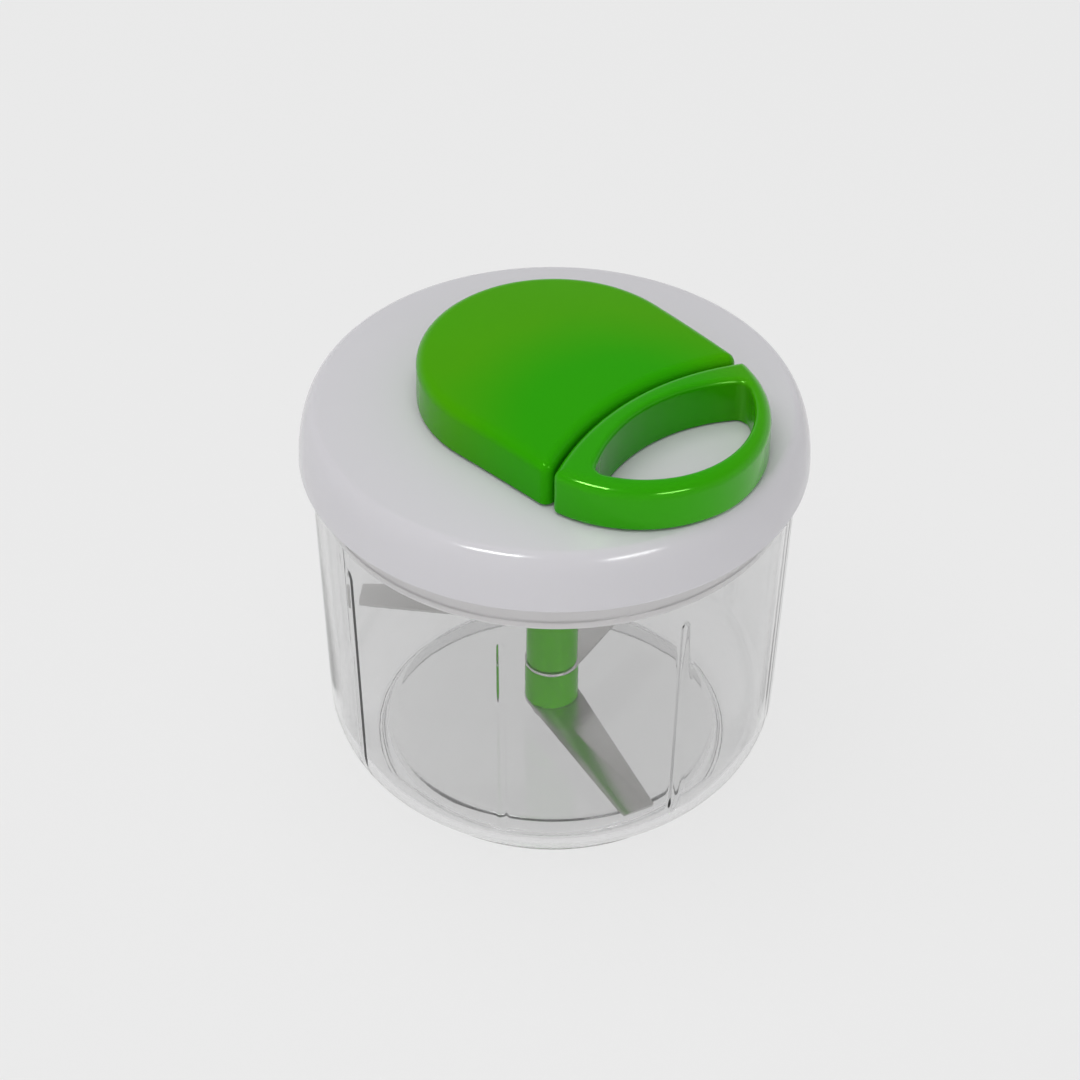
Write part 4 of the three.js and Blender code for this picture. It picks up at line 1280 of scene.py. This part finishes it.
@dataclass
class GreenForm:
    """Plan and top of the green parts, whose shared seam is curved, and the height of their cord."""

    lid: LidForm
    top: float
    cord: float = 116.3
    rear: float = 34.3
    corner: Point = (32.1, 33.0)
    sag: float = 1.2
    seam_sag: float = 7.3
    seam_gap: float = 0.8
    reach: float = 28.0
    edge: float = 2.8
    opening_edge: float = 1.5
    seat: float = 0.3
    foot: float = 0.35
    groove: float = 1.6
    groove_height: float = 0.3
    handle_foot: float = 1.0
    rounding: float = 2.4
    handle_corner: float = 1.8
    opening_corner: float = 3.0
    opening_shift: float = 0.7
    opening_bow: float = 46.0
    band: float = 4.5
    bar: float = 5.4

    @property
    def seam_radius(self) -> float:
        """Radius of the seam's middle line."""
        return (self.corner[1] ** 2 + self.seam_sag ** 2) / (2 * self.seam_sag)

    @property
    def seam_x(self) -> float:
        """Centre of the seam's arc, on the X axis."""
        return self.corner[0] - self.seam_sag + self.seam_radius

    @property
    def handle_radius(self) -> float:
        """Radius of the handle's outer arc."""
        return (self.corner[1] ** 2 + self.reach ** 2) / (2 * self.reach)

    @property
    def handle_x(self) -> float:
        """Centre of the handle's outer arc, on the X axis."""
        return self.corner[0] + self.reach - self.handle_radius

    def surface(self, x: float, y: float, drop: float = 0) -> float:
        """Height of the green top, or of a surface drop below it."""
        return self.top - drop - self.sag * (x * x + y * y) / self.rear ** 2

    def corner_point(self, inset: float) -> Vector:
        """Where the housing's straight side and the seam line meet.

        Args:
            inset: how far both are drawn in.

        Returns:
            The point in plan.
        """
        turn = self.side_turn()
        away, reach = self.rear - inset, self.seam_radius + self.seam_gap / 2 + inset
        normal, along = Vector((math.cos(turn), math.sin(turn))), Vector((math.sin(turn), -math.cos(turn)))
        start = normal * away - Vector((self.seam_x, 0))
        half = start.dot(along)
        back = math.sqrt(half ** 2 - (start.length_squared - reach ** 2))
        return normal * away - along * (half + back)

    def side_turn(self) -> float:
        """Direction in which the housing's straight side faces."""
        x, y = self.corner
        return math.atan2(y, x) + math.acos(self.rear / math.hypot(x, y))

    def housing_outline(self, inset: float) -> list[Point]:
        """Plan of the housing, with rounded front corners.

        Args:
            inset: how far it is drawn in from its edge.

        Returns:
            The plan's points.
        """
        radius = max(self.rounding - inset, 0.25)
        centre = self.corner_point(inset + radius)
        turn = self.side_turn()
        seam = Vector((self.seam_x, 0))
        to_seam = seam - centre
        facing = math.atan2(to_seam.y, to_seam.x)
        half = math.asin(centre.y / to_seam.length)
        away = self.rear - inset
        side = Vector((math.cos(turn), math.sin(turn))) * away
        touch = centre + Vector((math.cos(turn), math.sin(turn))) * radius
        run = [side.lerp(touch, i / 6) for i in range(1, 6)]
        seam_reach = self.seam_radius + self.seam_gap / 2 + inset
        return (
            arc(0, 0, away, turn, TAU - turn, 72)
            + [(p.x, -p.y) for p in run]
            + arc(centre.x, -centre.y, radius, -turn, -facing, 10)
            + arc(self.seam_x, 0, seam_reach, math.pi + half, math.pi - half, 44)[1:-1]
            + arc(centre.x, centre.y, radius, facing, turn, 10)
            + [(p.x, p.y) for p in reversed(run)]
        )

    def lens(self, outer: float, inner: float, inner_x: float, rounding: float) -> list[Point]:
        """Outline between two arcs, with rounded corners.

        Args:
            outer: radius of the front arc, about the handle's middle.
            inner: radius of the back arc.
            inner_x: middle of the back arc, on the X axis.
            rounding: radius of both corners.

        Returns:
            The outline's points.
        """
        corner = max(rounding, 0.12)
        a, b = outer - corner, inner - corner
        span = inner_x - self.handle_x
        x = (a * a - b * b + span * span) / (2 * span)
        y = math.sqrt(a * a - x * x)
        out, back, cx = math.atan2(y, x), math.atan2(y, span - x), self.handle_x + x
        return (
            arc(self.handle_x, 0, outer, -out, out, 72)
            + arc(cx, y, corner, out, math.pi - back, 14)[1:]
            + arc(inner_x, 0, inner, math.pi - back, math.pi + back, 44)[1:]
            + arc(cx, -y, corner, math.pi + back, TAU - out, 14)[1:-1]
        )

    def handle_outline(self, inset: float) -> list[Point]:
        """Outer outline of the handle.

        Args:
            inset: how far it is drawn in.

        Returns:
            The outline's points.
        """
        return self.lens(
            self.handle_radius - inset, self.seam_radius - self.seam_gap / 2 - inset, self.seam_x,
            self.handle_corner - inset)

    def opening_outline(self, outset: float) -> list[Point]:
        """Outline of the finger opening.

        Args:
            outset: how far it is widened.

        Returns:
            The outline's points.
        """
        start = self.seam_x - (self.seam_radius - self.seam_gap / 2 - self.bar)
        outline = self.lens(
            self.handle_radius - self.band + outset, self.opening_bow + outset, start + self.opening_bow,
            self.opening_corner + outset)
        return [(x, y + self.opening_shift) for x, y in outline]

    def on_top(self, outline: Sequence[Point], drop: float = 0) -> Ring:
        """An outline laid on the green top, or drop below it."""
        return [(x, y, self.surface(x, y, drop)) for x, y in outline]

    def on_lid(self, outline: Sequence[Point], lift: float) -> Ring:
        """An outline laid lift above the lid."""
        return [(x, y, self.lid.surface(math.hypot(x, y)) + lift) for x, y in outline]

    def side(
        self, outline: Callable[[float], list[Point]], edge: float, foot: float, groove: float = 0,
        steps: int = 8,
    ) -> list[Ring]:
        """Rings up a side from the lid, from its rounded foot over its rounded top edge.

        Args:
            outline: gives the plan at an inset.
            edge: radius of the rounded top edge.
            foot: radius of the rounded bottom edge.
            groove: depth of the groove under that edge, along the lid.
            steps: flats over the top edge.

        Returns:
            The rings from the bottom up.
        """
        rings = []
        low = self.seat + (self.groove_height if groove else 0)
        if groove:
            rings += [self.on_lid(outline(groove), height) for height in (self.seat, low)]
        for i in range(5):
            turn = math.pi / 2 * i / 4
            rings.append(self.on_lid(
                outline(foot * (1 - math.sin(turn))), low + foot * (1 - math.cos(turn))))
        rings.append(self.on_lid(outline(0), low + foot + 0.3))
        base, brow = self.on_lid(outline(0), low + foot + 0.6), self.on_top(outline(0), edge + 0.3)
        for share in (0.33, 0.66, 1):
            rings.append([(a[0], a[1], a[2] + (b[2] - a[2]) * share) for a, b in zip(base, brow)])
        for i in range(steps + 1):
            turn = math.pi / 2 * i / steps
            rings.append(self.on_top(outline(edge * (1 - math.cos(turn))), edge * (1 - math.sin(turn))))
        return rings


def shrunk(outline: Sequence[Point], share: float) -> list[Point]:
    """An outline drawn in towards the middle of the hub."""
    return [(x * share, y * share) for x, y in outline]


@dataclass
class Housing:
    """Green housing over the reel, open below, with its post and screw bosses inside."""

    finishes: Finishes
    form: GreenForm
    wall: float = 2.0
    post: float = 4.2
    post_length: float = 4.6
    axle: float = 2.15
    boss: float = 3.0
    pilot_depth: float = 6.5
    eye: float = 2.95
    slot: float = 0.35
    bore_end: float = 0.3
    ceiling_edge: float = 0.8

    def shell(self) -> bmesh.types.BMesh:
        """The hollow shell, from the middle of the top down its side and up inside to the ceiling.

        Returns:
            The closed mesh.
        """
        form = self.form
        shares = (0.985, 0.93, 0.84, 0.7, 0.55, 0.4, 0.25, 0.12, 0)
        outside = form.side(form.housing_outline, form.edge, form.foot, form.groove)
        crown = [form.on_top(shrunk(form.housing_outline(form.edge), s)) for s in shares]
        lining = form.housing_outline(self.wall)
        brow = form.housing_outline(self.wall + self.ceiling_edge)
        inside = [
            form.on_lid(lining, form.seat), form.on_lid(lining, form.seat + 2),
            form.on_top(lining, self.wall + 1.2), form.on_top(lining, self.wall + self.ceiling_edge),
            form.on_top(form.housing_outline(self.wall + 0.25), self.wall + 0.25),
            form.on_top(brow, self.wall),
        ]
        ceiling = [form.on_top(shrunk(brow, s), self.wall) for s in shares]
        return lofted(list(reversed(outside + crown)) + inside + ceiling)

    def build(self) -> None:
        """Makes the housing."""
        form, lid = self.form, self.form.lid
        screws = spots(lid.screw_circle, lid.screw_turns)
        roof, lid_top = form.top - self.wall, lid.surface(0)
        foot = roof - self.post_length
        post = disc(self.post, foot, roof + self.wall / 2, 40)
        boss_foot = lid.surface(lid.screw_circle + self.boss) + form.seat * 2.6
        bosses = [
            disc(self.boss, boss_foot, form.surface(*spot, self.wall) + BITE, 32, spot)
            for spot in screws]
        pilots = [
            disc(lid.pilot, lid_top - self.wall * 2, lid_top + self.pilot_depth, 20, spot)
            for spot in screws]
        top = roof - self.bore_end
        axle = disc(self.axle, foot - OVERRUN, top, 32)
        notch = block((0, -self.slot, foot - OVERRUN), (self.post + OVERRUN, self.slot, top))
        eye = laid(disc(self.eye, -3 * self.wall, OVERRUN, 48), form.seam_x - form.seam_radius, form.cord)
        body = worked(worked(self.shell(), post, *bosses, how=Join.ADD), *pilots, axle, notch, eye)
        piece("reel_housing", body, self.finishes.green, "green_plastic", "lid", "housing")


@dataclass
class RingHandle:
    """Green ring handle with the pocket for the cord's end in its bar, and the cover of that pocket."""

    finishes: Finishes
    form: GreenForm
    cord_hole: float = 1.5
    cover_edge: float = 0.35

    def ring(self) -> bmesh.types.BMesh:
        """The ring, from the foot of its outer side over the top and down into the finger opening.

        Returns:
            The closed mesh.
        """
        form = self.form
        outside = form.side(form.handle_outline, form.edge, form.handle_foot)
        inside = form.side(form.opening_outline, form.opening_edge, form.foot)
        middle = [((a[0] + b[0]) / 2, (a[1] + b[1]) / 2) for a, b in zip(outside[-1], inside[-1])]
        return lofted(outside + [form.on_top(middle)] + list(reversed(inside)) + [outside[0]])

    def build(self) -> None:
        """Makes the handle, the crimped knot and the pocket's cover."""
        form = self.form
        low, high = box_mm("knot_cover")
        knot_low, knot_high = box_mm("cord_knot")
        gap = form.seat
        back = form.seam_x - form.seam_radius + form.seam_gap / 2
        pocket = block(
            (low.x - gap, low.y - gap, low.z - 5), (high.x + gap, high.y + gap, knot_high.z + gap))
        hole = laid(disc(self.cord_hole, -OVERRUN, low.x - back, 32), back, form.cord)
        ring = worked(self.ring(), pocket, hole)
        piece("ring_handle", ring, self.finishes.handle, "green_plastic", "handle", "pull_handle")
        cover = block(tuple(low), tuple(high), self.cover_edge)
        piece("pocket_cover", cover, self.finishes.handle, "green_plastic", "handle", "knot_cover")
        radius, length = (knot_high.y - knot_low.y) / 2, knot_high.x - knot_low.x
        knot = turned(eased([
            (0, 0), (radius, 0, 0.5), (radius, length, 0.5), (0, length)], hold=TIGHT), 32)
        piece(
            "crimped_knot", laid(knot, knot_low.x, form.cord), self.finishes.steel, "small_steel", "handle",
            "cord_knot")


# Cord, reel and drive


def tube(
    path: Sequence[Vector], across: tuple[float, float], lengths: Sequence[float],
) -> bmesh.types.BMesh:
    """A round or flattened tube along a path that stays level.

    Args:
        path: points of its middle line, in millimetres.
        across: half widths sideways and upwards.
        lengths: the cord's length at each point, which its braid follows.

    Returns:
        The closed mesh, with the braid's "lay" on its points.
    """
    rings = []
    for i, here in enumerate(path):
        ahead = (path[min(i + 1, len(path) - 1)] - path[max(i - 1, 0)]).normalized()
        side = ahead.cross(Vector((0, 0, 1))).normalized()
        up = side.cross(ahead)
        rings.append([
            tuple(here + side * c * across[0] + up * s * across[1])
            for c, s in arc(0, 0, 1, 0, TAU * (1 - 1 / TUBE_SIDES), TUBE_SIDES - 1)])
    rings = [[tuple(path[0])] * TUBE_SIDES] + rings + [[tuple(path[-1])] * TUBE_SIDES]
    bm = bmesh.new()
    layer = bm.verts.layers.float_vector.new("lay")
    for verts, length in zip(swept(bm, rings), [lengths[0], *lengths, lengths[-1]]):
        for k, vert in enumerate(verts):
            turn = TAU * k / TUBE_SIDES
            vert[layer] = (length, math.cos(turn), math.sin(turn))
    return tidied(bm)


@dataclass
class Recoil:
    """The cord, its reel with the one-way clutch, and the drive through the lid."""

    finishes: Finishes
    form: GreenForm
    pull: float = 280.0
    cord: float = 1.2
    lay: float = 17.4
    wall_back: float = 22.4
    pocket: float = 27.04
    stretch: tuple[float, float] = (23.5, 26.2)
    drum: float = 13.5
    flange: float = 19.4
    spring_outer: float = 12.1
    axle: float = 2.3
    reel: tuple[float, float] = (112.8, 121.1)
    lower_flange_top: float = 114.0
    web: tuple[float, float] = (116.5, 117.7)
    upper_flange: tuple[float, float] = (118.6, 119.8)
    pin: float = 0.9
    pin_circle: float = 10.5
    winding: tuple[float, float] = (14.85, 1.05)
    winding_turns: float = 11 / 6
    climb: tuple[float, float] = (5 / 6, 1 / 6)
    winding_steps: int = 220
    socket: float = 9.0
    shaft: float = 4.6
    shaft_length: float = 2.6
    hex_across: float = 9.6
    hex_room: float = 1.3
    lead: tuple[float, float] = (6.4, 5.0)
    lead_depth: float = 1.2
    screw: float = 1.25
    gap: float = 0.3

    def run_path(self) -> list[Vector]:
        """The cord's way from the reel through the bush to the knot.

        Returns:
            The points of its middle line.
        """
        turn, z = math.acos(self.lay / self.wall_back), self.form.cord
        leave = Vector((self.lay * math.cos(turn), -self.lay * math.sin(turn), z))
        mouth = Vector((self.wall_back, 0, z))
        start = [leave.lerp(mouth, i / 10) for i in range(10)]
        turns = ((-0.12, -0.3), (0.1, -0.1), (0.45, -0.02), (0.8, 0))
        bend = [Vector((self.wall_back + dx, dy, z)) for dx, dy in turns]
        low, high = self.stretch
        steps = 72
        pulled = [Vector((low + (high - low) * i / steps, 0, z)) for i in range(steps + 1)]
        return start + bend + pulled + [Vector((self.pocket, 0, z))]

    def build_cord(self) -> None:
        """Makes the run of cord, which pays out between the lid and the handle, and its winding."""
        path = self.run_path()
        low, high = self.stretch
        lengths, total = [0.0], 0.0
        for a, b in zip(path, path[1:]):
            total += (b - a).length
            paid = smooth((b.x - low) / (high - low)) if b.y > -0.01 else 0.0
            lengths.append(total + self.pull * paid)
        run = piece(
            "braided_run", tube(path, (self.cord, self.cord), lengths), self.finishes.cord, "cord", None,
            "cord_run")
        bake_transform(run)
        radius, half = self.winding
        low, high = (corner.z for corner in box_mm("cord_winding"))
        rise = (high - low) / 4
        climb_start, climb_turns = self.climb
        path, lengths = [], []
        for i in range(self.winding_steps + 1):
            turns = i / self.winding_steps * self.winding_turns
            z = low + rise + 2 * rise * smooth((turns - climb_start) / climb_turns)
            path.append(Vector((radius * math.cos(TAU * turns), radius * math.sin(TAU * turns), z)))
            lengths.append(TAU * turns * radius)
        wound = tube(path, (half, rise * 0.99), lengths)
        piece("wound_cord", wound, self.finishes.cord, "cord", "reel", "cord_winding")

    def build_reel(self) -> None:
        """Makes the reel, its spring, axle, washer and bush."""
        drum, flange, hollow = self.drum, self.flange, self.spring_outer
        (low, high), (web_low, web_high), (upper_low, upper_high) = self.reel, self.web, self.upper_flange
        body = turned(eased([
            (drum, low, 0.15), (flange, low, 0.3), (flange, self.lower_flange_top, 0.4),
            (drum, self.lower_flange_top, 0.3), (drum, upper_low, 0.3), (flange, upper_low, 0.4),
            (flange, upper_high, 0.4), (drum, upper_high, 0.2), (drum, high, 0.3), (hollow, high, 0.2),
            (hollow, web_high, 0.2), (self.axle, web_high, 0.2), (self.axle, web_low, 0.2),
            (hollow, web_low, 0.2), (hollow, low, 0.15),
        ], closed=True, hold=TIGHT), 96)
        pins = [disc(self.pin, low, web_low + BITE, 24, spot) for spot in spots(self.pin_circle, (0, 180))]
        reel = worked(body, *pins, how=Join.ADD)
        piece("turned_reel", reel, self.finishes.grey, "grey_plastic", "reel", "cord_reel")
        low, high = box_mm("reel_axle")
        axle = turned(eased([(0, low.z), (high.x, low.z, 0.3), (high.x, high.z, 0.3), (0, high.z)]), 40)
        piece("reel_axle_pin", axle, self.finishes.steel, "small_steel", "lid", "reel_axle")
        low, high = box_mm("thrust_washer")
        inner = self.shaft + 0.6
        washer = turned(eased([
            (inner, low.z, 0.12), (high.x, low.z, 0.12), (high.x, high.z, 0.12), (inner, high.z, 0.12)],
            closed=True, hold=TIGHT), 64)
        piece("flat_washer", washer, self.finishes.grey, "grey_plastic", "lid", "thrust_washer")
        low, high = box_mm("cord_eyelet")
        bore, outer, length = self.cord + 0.45, high.y, high.x - low.x
        bush = laid(turned(eased([
            (bore, 0, 0.5), (outer, 0, 0.2), (outer, length, 0.2), (bore, length, 0.5)],
            closed=True, hold=TIGHT), 48), low.x, self.form.cord)
        piece("polished_eyelet", bush, self.finishes.steel, "small_steel", "lid", "cord_eyelet")

    def build_drive(self) -> None:
        """Makes the hexagon socket under the lid and its screw."""
        low, high = box_mm("drive_socket")
        shoulder = high.z - self.shaft_length
        roof = box_mm("upper_sleeve")[1].z + self.gap
        body = turned(eased([
            (0, low.z), (self.socket, low.z, 0.5), (self.socket, shoulder, 0.6), (self.shaft, high.z, 0.4),
            (0, high.z)]), 72)
        mouth = raised(flats(self.hex_across, 6), low.z - OVERRUN, roof + self.hex_room)
        below, inside = low.z - OVERRUN, low.z + self.lead_depth
        lead = turned([
            (0, below), (self.lead[0], below), (self.lead[0], low.z), (self.lead[1], inside), (0, inside)],
            48)
        body = worked(body, mouth, lead, disc(self.screw, roof, high.z + OVERRUN, 24))
        piece("hexagon_socket", body, self.finishes.grey, "grey_plastic", "drive", "drive_socket")

    def build(self) -> None:
        """Makes all of the recoil."""
        self.build_cord()
        self.build_reel()
        self.build_drive()


def dress_packed(steel: bpy.types.Material) -> None:
    """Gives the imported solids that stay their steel.

    Args:
        steel: their finish.
    """
    for node in PACKED_STEEL:
        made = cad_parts[node]
        made.data.materials.clear()
        made.data.materials.append(steel)
        log.info("%s: packed solid, dressed", node)


# Studio


@dataclass(frozen=True)
class Lamp:
    """A square or long area lamp that faces the object."""

    name: str
    toward: Place
    distance: float
    size: tuple[float, float]
    power: float
    mirrored: bool = True
    spreads: bool = True
    aim: Place = (0, 0, 0.09)

    def build(self) -> None:
        """Makes the lamp. Gloss shows it where it is mirrored, and other faces where it spreads."""
        light = bpy.data.lights.new(self.name, "AREA")
        light.shape = "RECTANGLE"
        light.size, light.size_y = self.size
        light.energy = self.power
        made = bpy.data.objects.new(self.name, light)
        bpy.context.scene.collection.objects.link(made)
        direction = Vector(self.toward).normalized()
        made.location = Vector(self.aim) + direction * self.distance
        made.rotation_euler = direction.to_track_quat("Z", "Y").to_euler()
        made.visible_glossy = self.mirrored
        made.visible_diffuse = self.spreads
        made.visible_transmission = self.mirrored
        made.visible_camera = False


@dataclass(frozen=True)
class Camera:
    """The photograph's camera, solved on the object's circles in a frame whose +Y is the view direction."""

    lens: float = 111.06
    sensor: float = 36.0
    place: Place = (0.0, -0.666487, 0.597549)
    pitch: float = 0.673839
    yaw: float = -0.00513578
    roll: float = 0.00932509
    turn: float = 45.073
    clip: tuple[float, float] = (0.01, 50.0)

    def build(self) -> None:
        """Makes the camera and turns it from its own frame into the object's."""
        ahead = Vector((
            math.sin(self.yaw) * math.cos(self.pitch), math.cos(self.yaw) * math.cos(self.pitch),
            -math.sin(self.pitch)))
        level = Vector((math.cos(self.yaw), -math.sin(self.yaw), 0))
        above = level.cross(ahead)
        right = level * math.cos(self.roll) + above * math.sin(self.roll)
        up = above * math.cos(self.roll) - level * math.sin(self.roll)
        axes = Matrix((right, up, -ahead)).transposed().to_4x4()
        data = bpy.data.cameras.new("photo_camera")
        data.lens, data.sensor_width = self.lens, self.sensor
        data.clip_start, data.clip_end = self.clip
        made = bpy.data.objects.new("photo_camera", data)
        bpy.context.scene.collection.objects.link(made)
        made.matrix_world = (
            Matrix.Rotation(math.radians(self.turn), 4, "Z") @ Matrix.Translation(self.place) @ axes)
        bpy.context.scene.camera = made


@dataclass(frozen=True)
class Studio:
    """Pale floor, pale surroundings and soft lamps."""

    backdrop: float = 0.83
    world: float = 0.38
    ceiling: float = 0.3
    ceiling_span: tuple[float, float] = (0.1, 0.5)
    floor_share: float = 0.13
    floor_albedo: float = 0.12
    floor_bounce: float = 0.32
    floor_size: float = 8.0
    lamps: tuple[Lamp, ...] = (
        Lamp("overhead", (-0.05, -0.2, 1.0), 1.6, (1.6, 1.6), 16.5, mirrored=False),
        Lamp("front_fill", (0.7, -0.6, 0.4), 1.8, (1.6, 1.2), 3.6, mirrored=False),
        Lamp("left_glint", (0.2, -0.68, 0.71), 1.4, (0.46, 0.15), 15, spreads=False),
        Lamp("right_glint", (0.89, -0.18, 0.41), 1.4, (0.5, 0.14), 8, spreads=False),
    )

    @staticmethod
    def seen(tree: bpy.types.NodeTree) -> bpy.types.NodeSocket:
        """Tells the rays that show a surface from those that light the object.

        Args:
            tree: the node tree.

        Returns:
            1 for rays from the camera, gloss and glass, and 0 for those that light.
        """
        path = place(tree, "ShaderNodeLightPath").outputs
        bent = maths(tree, "MAXIMUM", path["Is Glossy Ray"], path["Is Transmission Ray"])
        return maths(tree, "MAXIMUM", path["Is Camera Ray"], bent)

    def build_world(self) -> None:
        """Makes the pale surroundings."""
        world = bpy.data.worlds.new("pale_surroundings")
        world.use_nodes = True
        tree = world.node_tree
        tree.nodes.clear()
        heading = place(tree, "ShaderNodeSeparateXYZ", {
            0: place(tree, "ShaderNodeTexCoord").outputs["Generated"]}).outputs[2]
        low, high = self.ceiling_span
        mirrored = place(tree, "ShaderNodeMapRange", {
            0: heading, 1: low, 2: high, 3: self.backdrop, 4: self.ceiling}).outputs[0]
        path = place(tree, "ShaderNodeLightPath").outputs
        through = maths(tree, "MAXIMUM", path["Is Camera Ray"], path["Is Transmission Ray"])
        light = place(tree, "ShaderNodeMix", {0: path["Is Glossy Ray"], 2: self.world, 3: mirrored})
        level = place(tree, "ShaderNodeMix", {0: through, 2: light.outputs[0], 3: self.backdrop})
        shown = place(tree, "ShaderNodeBackground", {"Color": (1, 1, 1, 1), "Strength": level.outputs[0]})
        result = place(tree, "ShaderNodeOutputWorld")
        tree.links.new(shown.outputs[0], result.inputs["Surface"])
        bpy.context.scene.world = world

    def build_floor(self) -> None:
        """Makes the floor, which keeps a faint shadow and hides nothing from below."""
        bm = bmesh.new()
        bmesh.ops.create_grid(bm, x_segments=1, y_segments=1, size=self.floor_size / 2)
        made = loose("pale_floor", bm)
        material, tree, result = new_material("pale_floor")
        glow = place(tree, "ShaderNodeEmission", {
            "Color": (1, 1, 1, 1), "Strength": self.backdrop * (1 - self.floor_share)})
        dull = place(tree, "ShaderNodeBsdfDiffuse", {"Color": (*(self.floor_albedo,) * 3, 1)})
        both = place(tree, "ShaderNodeAddShader", {0: glow.outputs[0], 1: dull.outputs[0]})
        plain = place(tree, "ShaderNodeBsdfDiffuse", {"Color": (0.8, 0.8, 0.8, 1)})
        bounce = place(tree, "ShaderNodeEmission", {"Color": (1, 1, 1, 1), "Strength": self.floor_bounce})
        lit = place(tree, "ShaderNodeAddShader", {0: plain.outputs[0], 1: bounce.outputs[0]})
        mixed = place(tree, "ShaderNodeMixShader", {
            0: self.seen(tree), 1: lit.outputs[0], 2: both.outputs[0]})
        back = place(tree, "ShaderNodeNewGeometry").outputs["Backfacing"]
        open_below = place(tree, "ShaderNodeMixShader", {
            0: back, 1: mixed.outputs[0], 2: place(tree, "ShaderNodeBsdfTransparent").outputs[0]})
        tree.links.new(open_below.outputs[0], result.inputs["Surface"])
        made.data.materials.append(material)

    def build(self) -> None:
        """Makes the surroundings, the floor and the lamps."""
        self.build_world()
        self.build_floor()
        for lamp in self.lamps:
            lamp.build()
        bpy.context.scene.view_settings.view_transform = "Standard"


def main() -> None:
    """Builds the camera, the light and every piece."""
    logging.basicConfig(level=logging.INFO, format="%(name)s: %(message)s")
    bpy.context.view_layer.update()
    Camera().build()
    Studio().build()
    finishes = make_finishes(BLADE_TURNS)
    lid_form = LidForm()
    green_form = GreenForm(lid_form, top=box_mm("housing")[1].z)
    parts = (
        Bowl(finishes), BladeUnit(finishes, BLADE_TURNS), Lid(finishes, lid_form),
        Housing(finishes, green_form), RingHandle(finishes, green_form), Recoil(finishes, green_form),
    )
    for part in parts:
        part.build()
        log.info("%s done", type(part).__name__)
    dress_packed(finishes.steel)


if __name__ == "__main__":
    main()
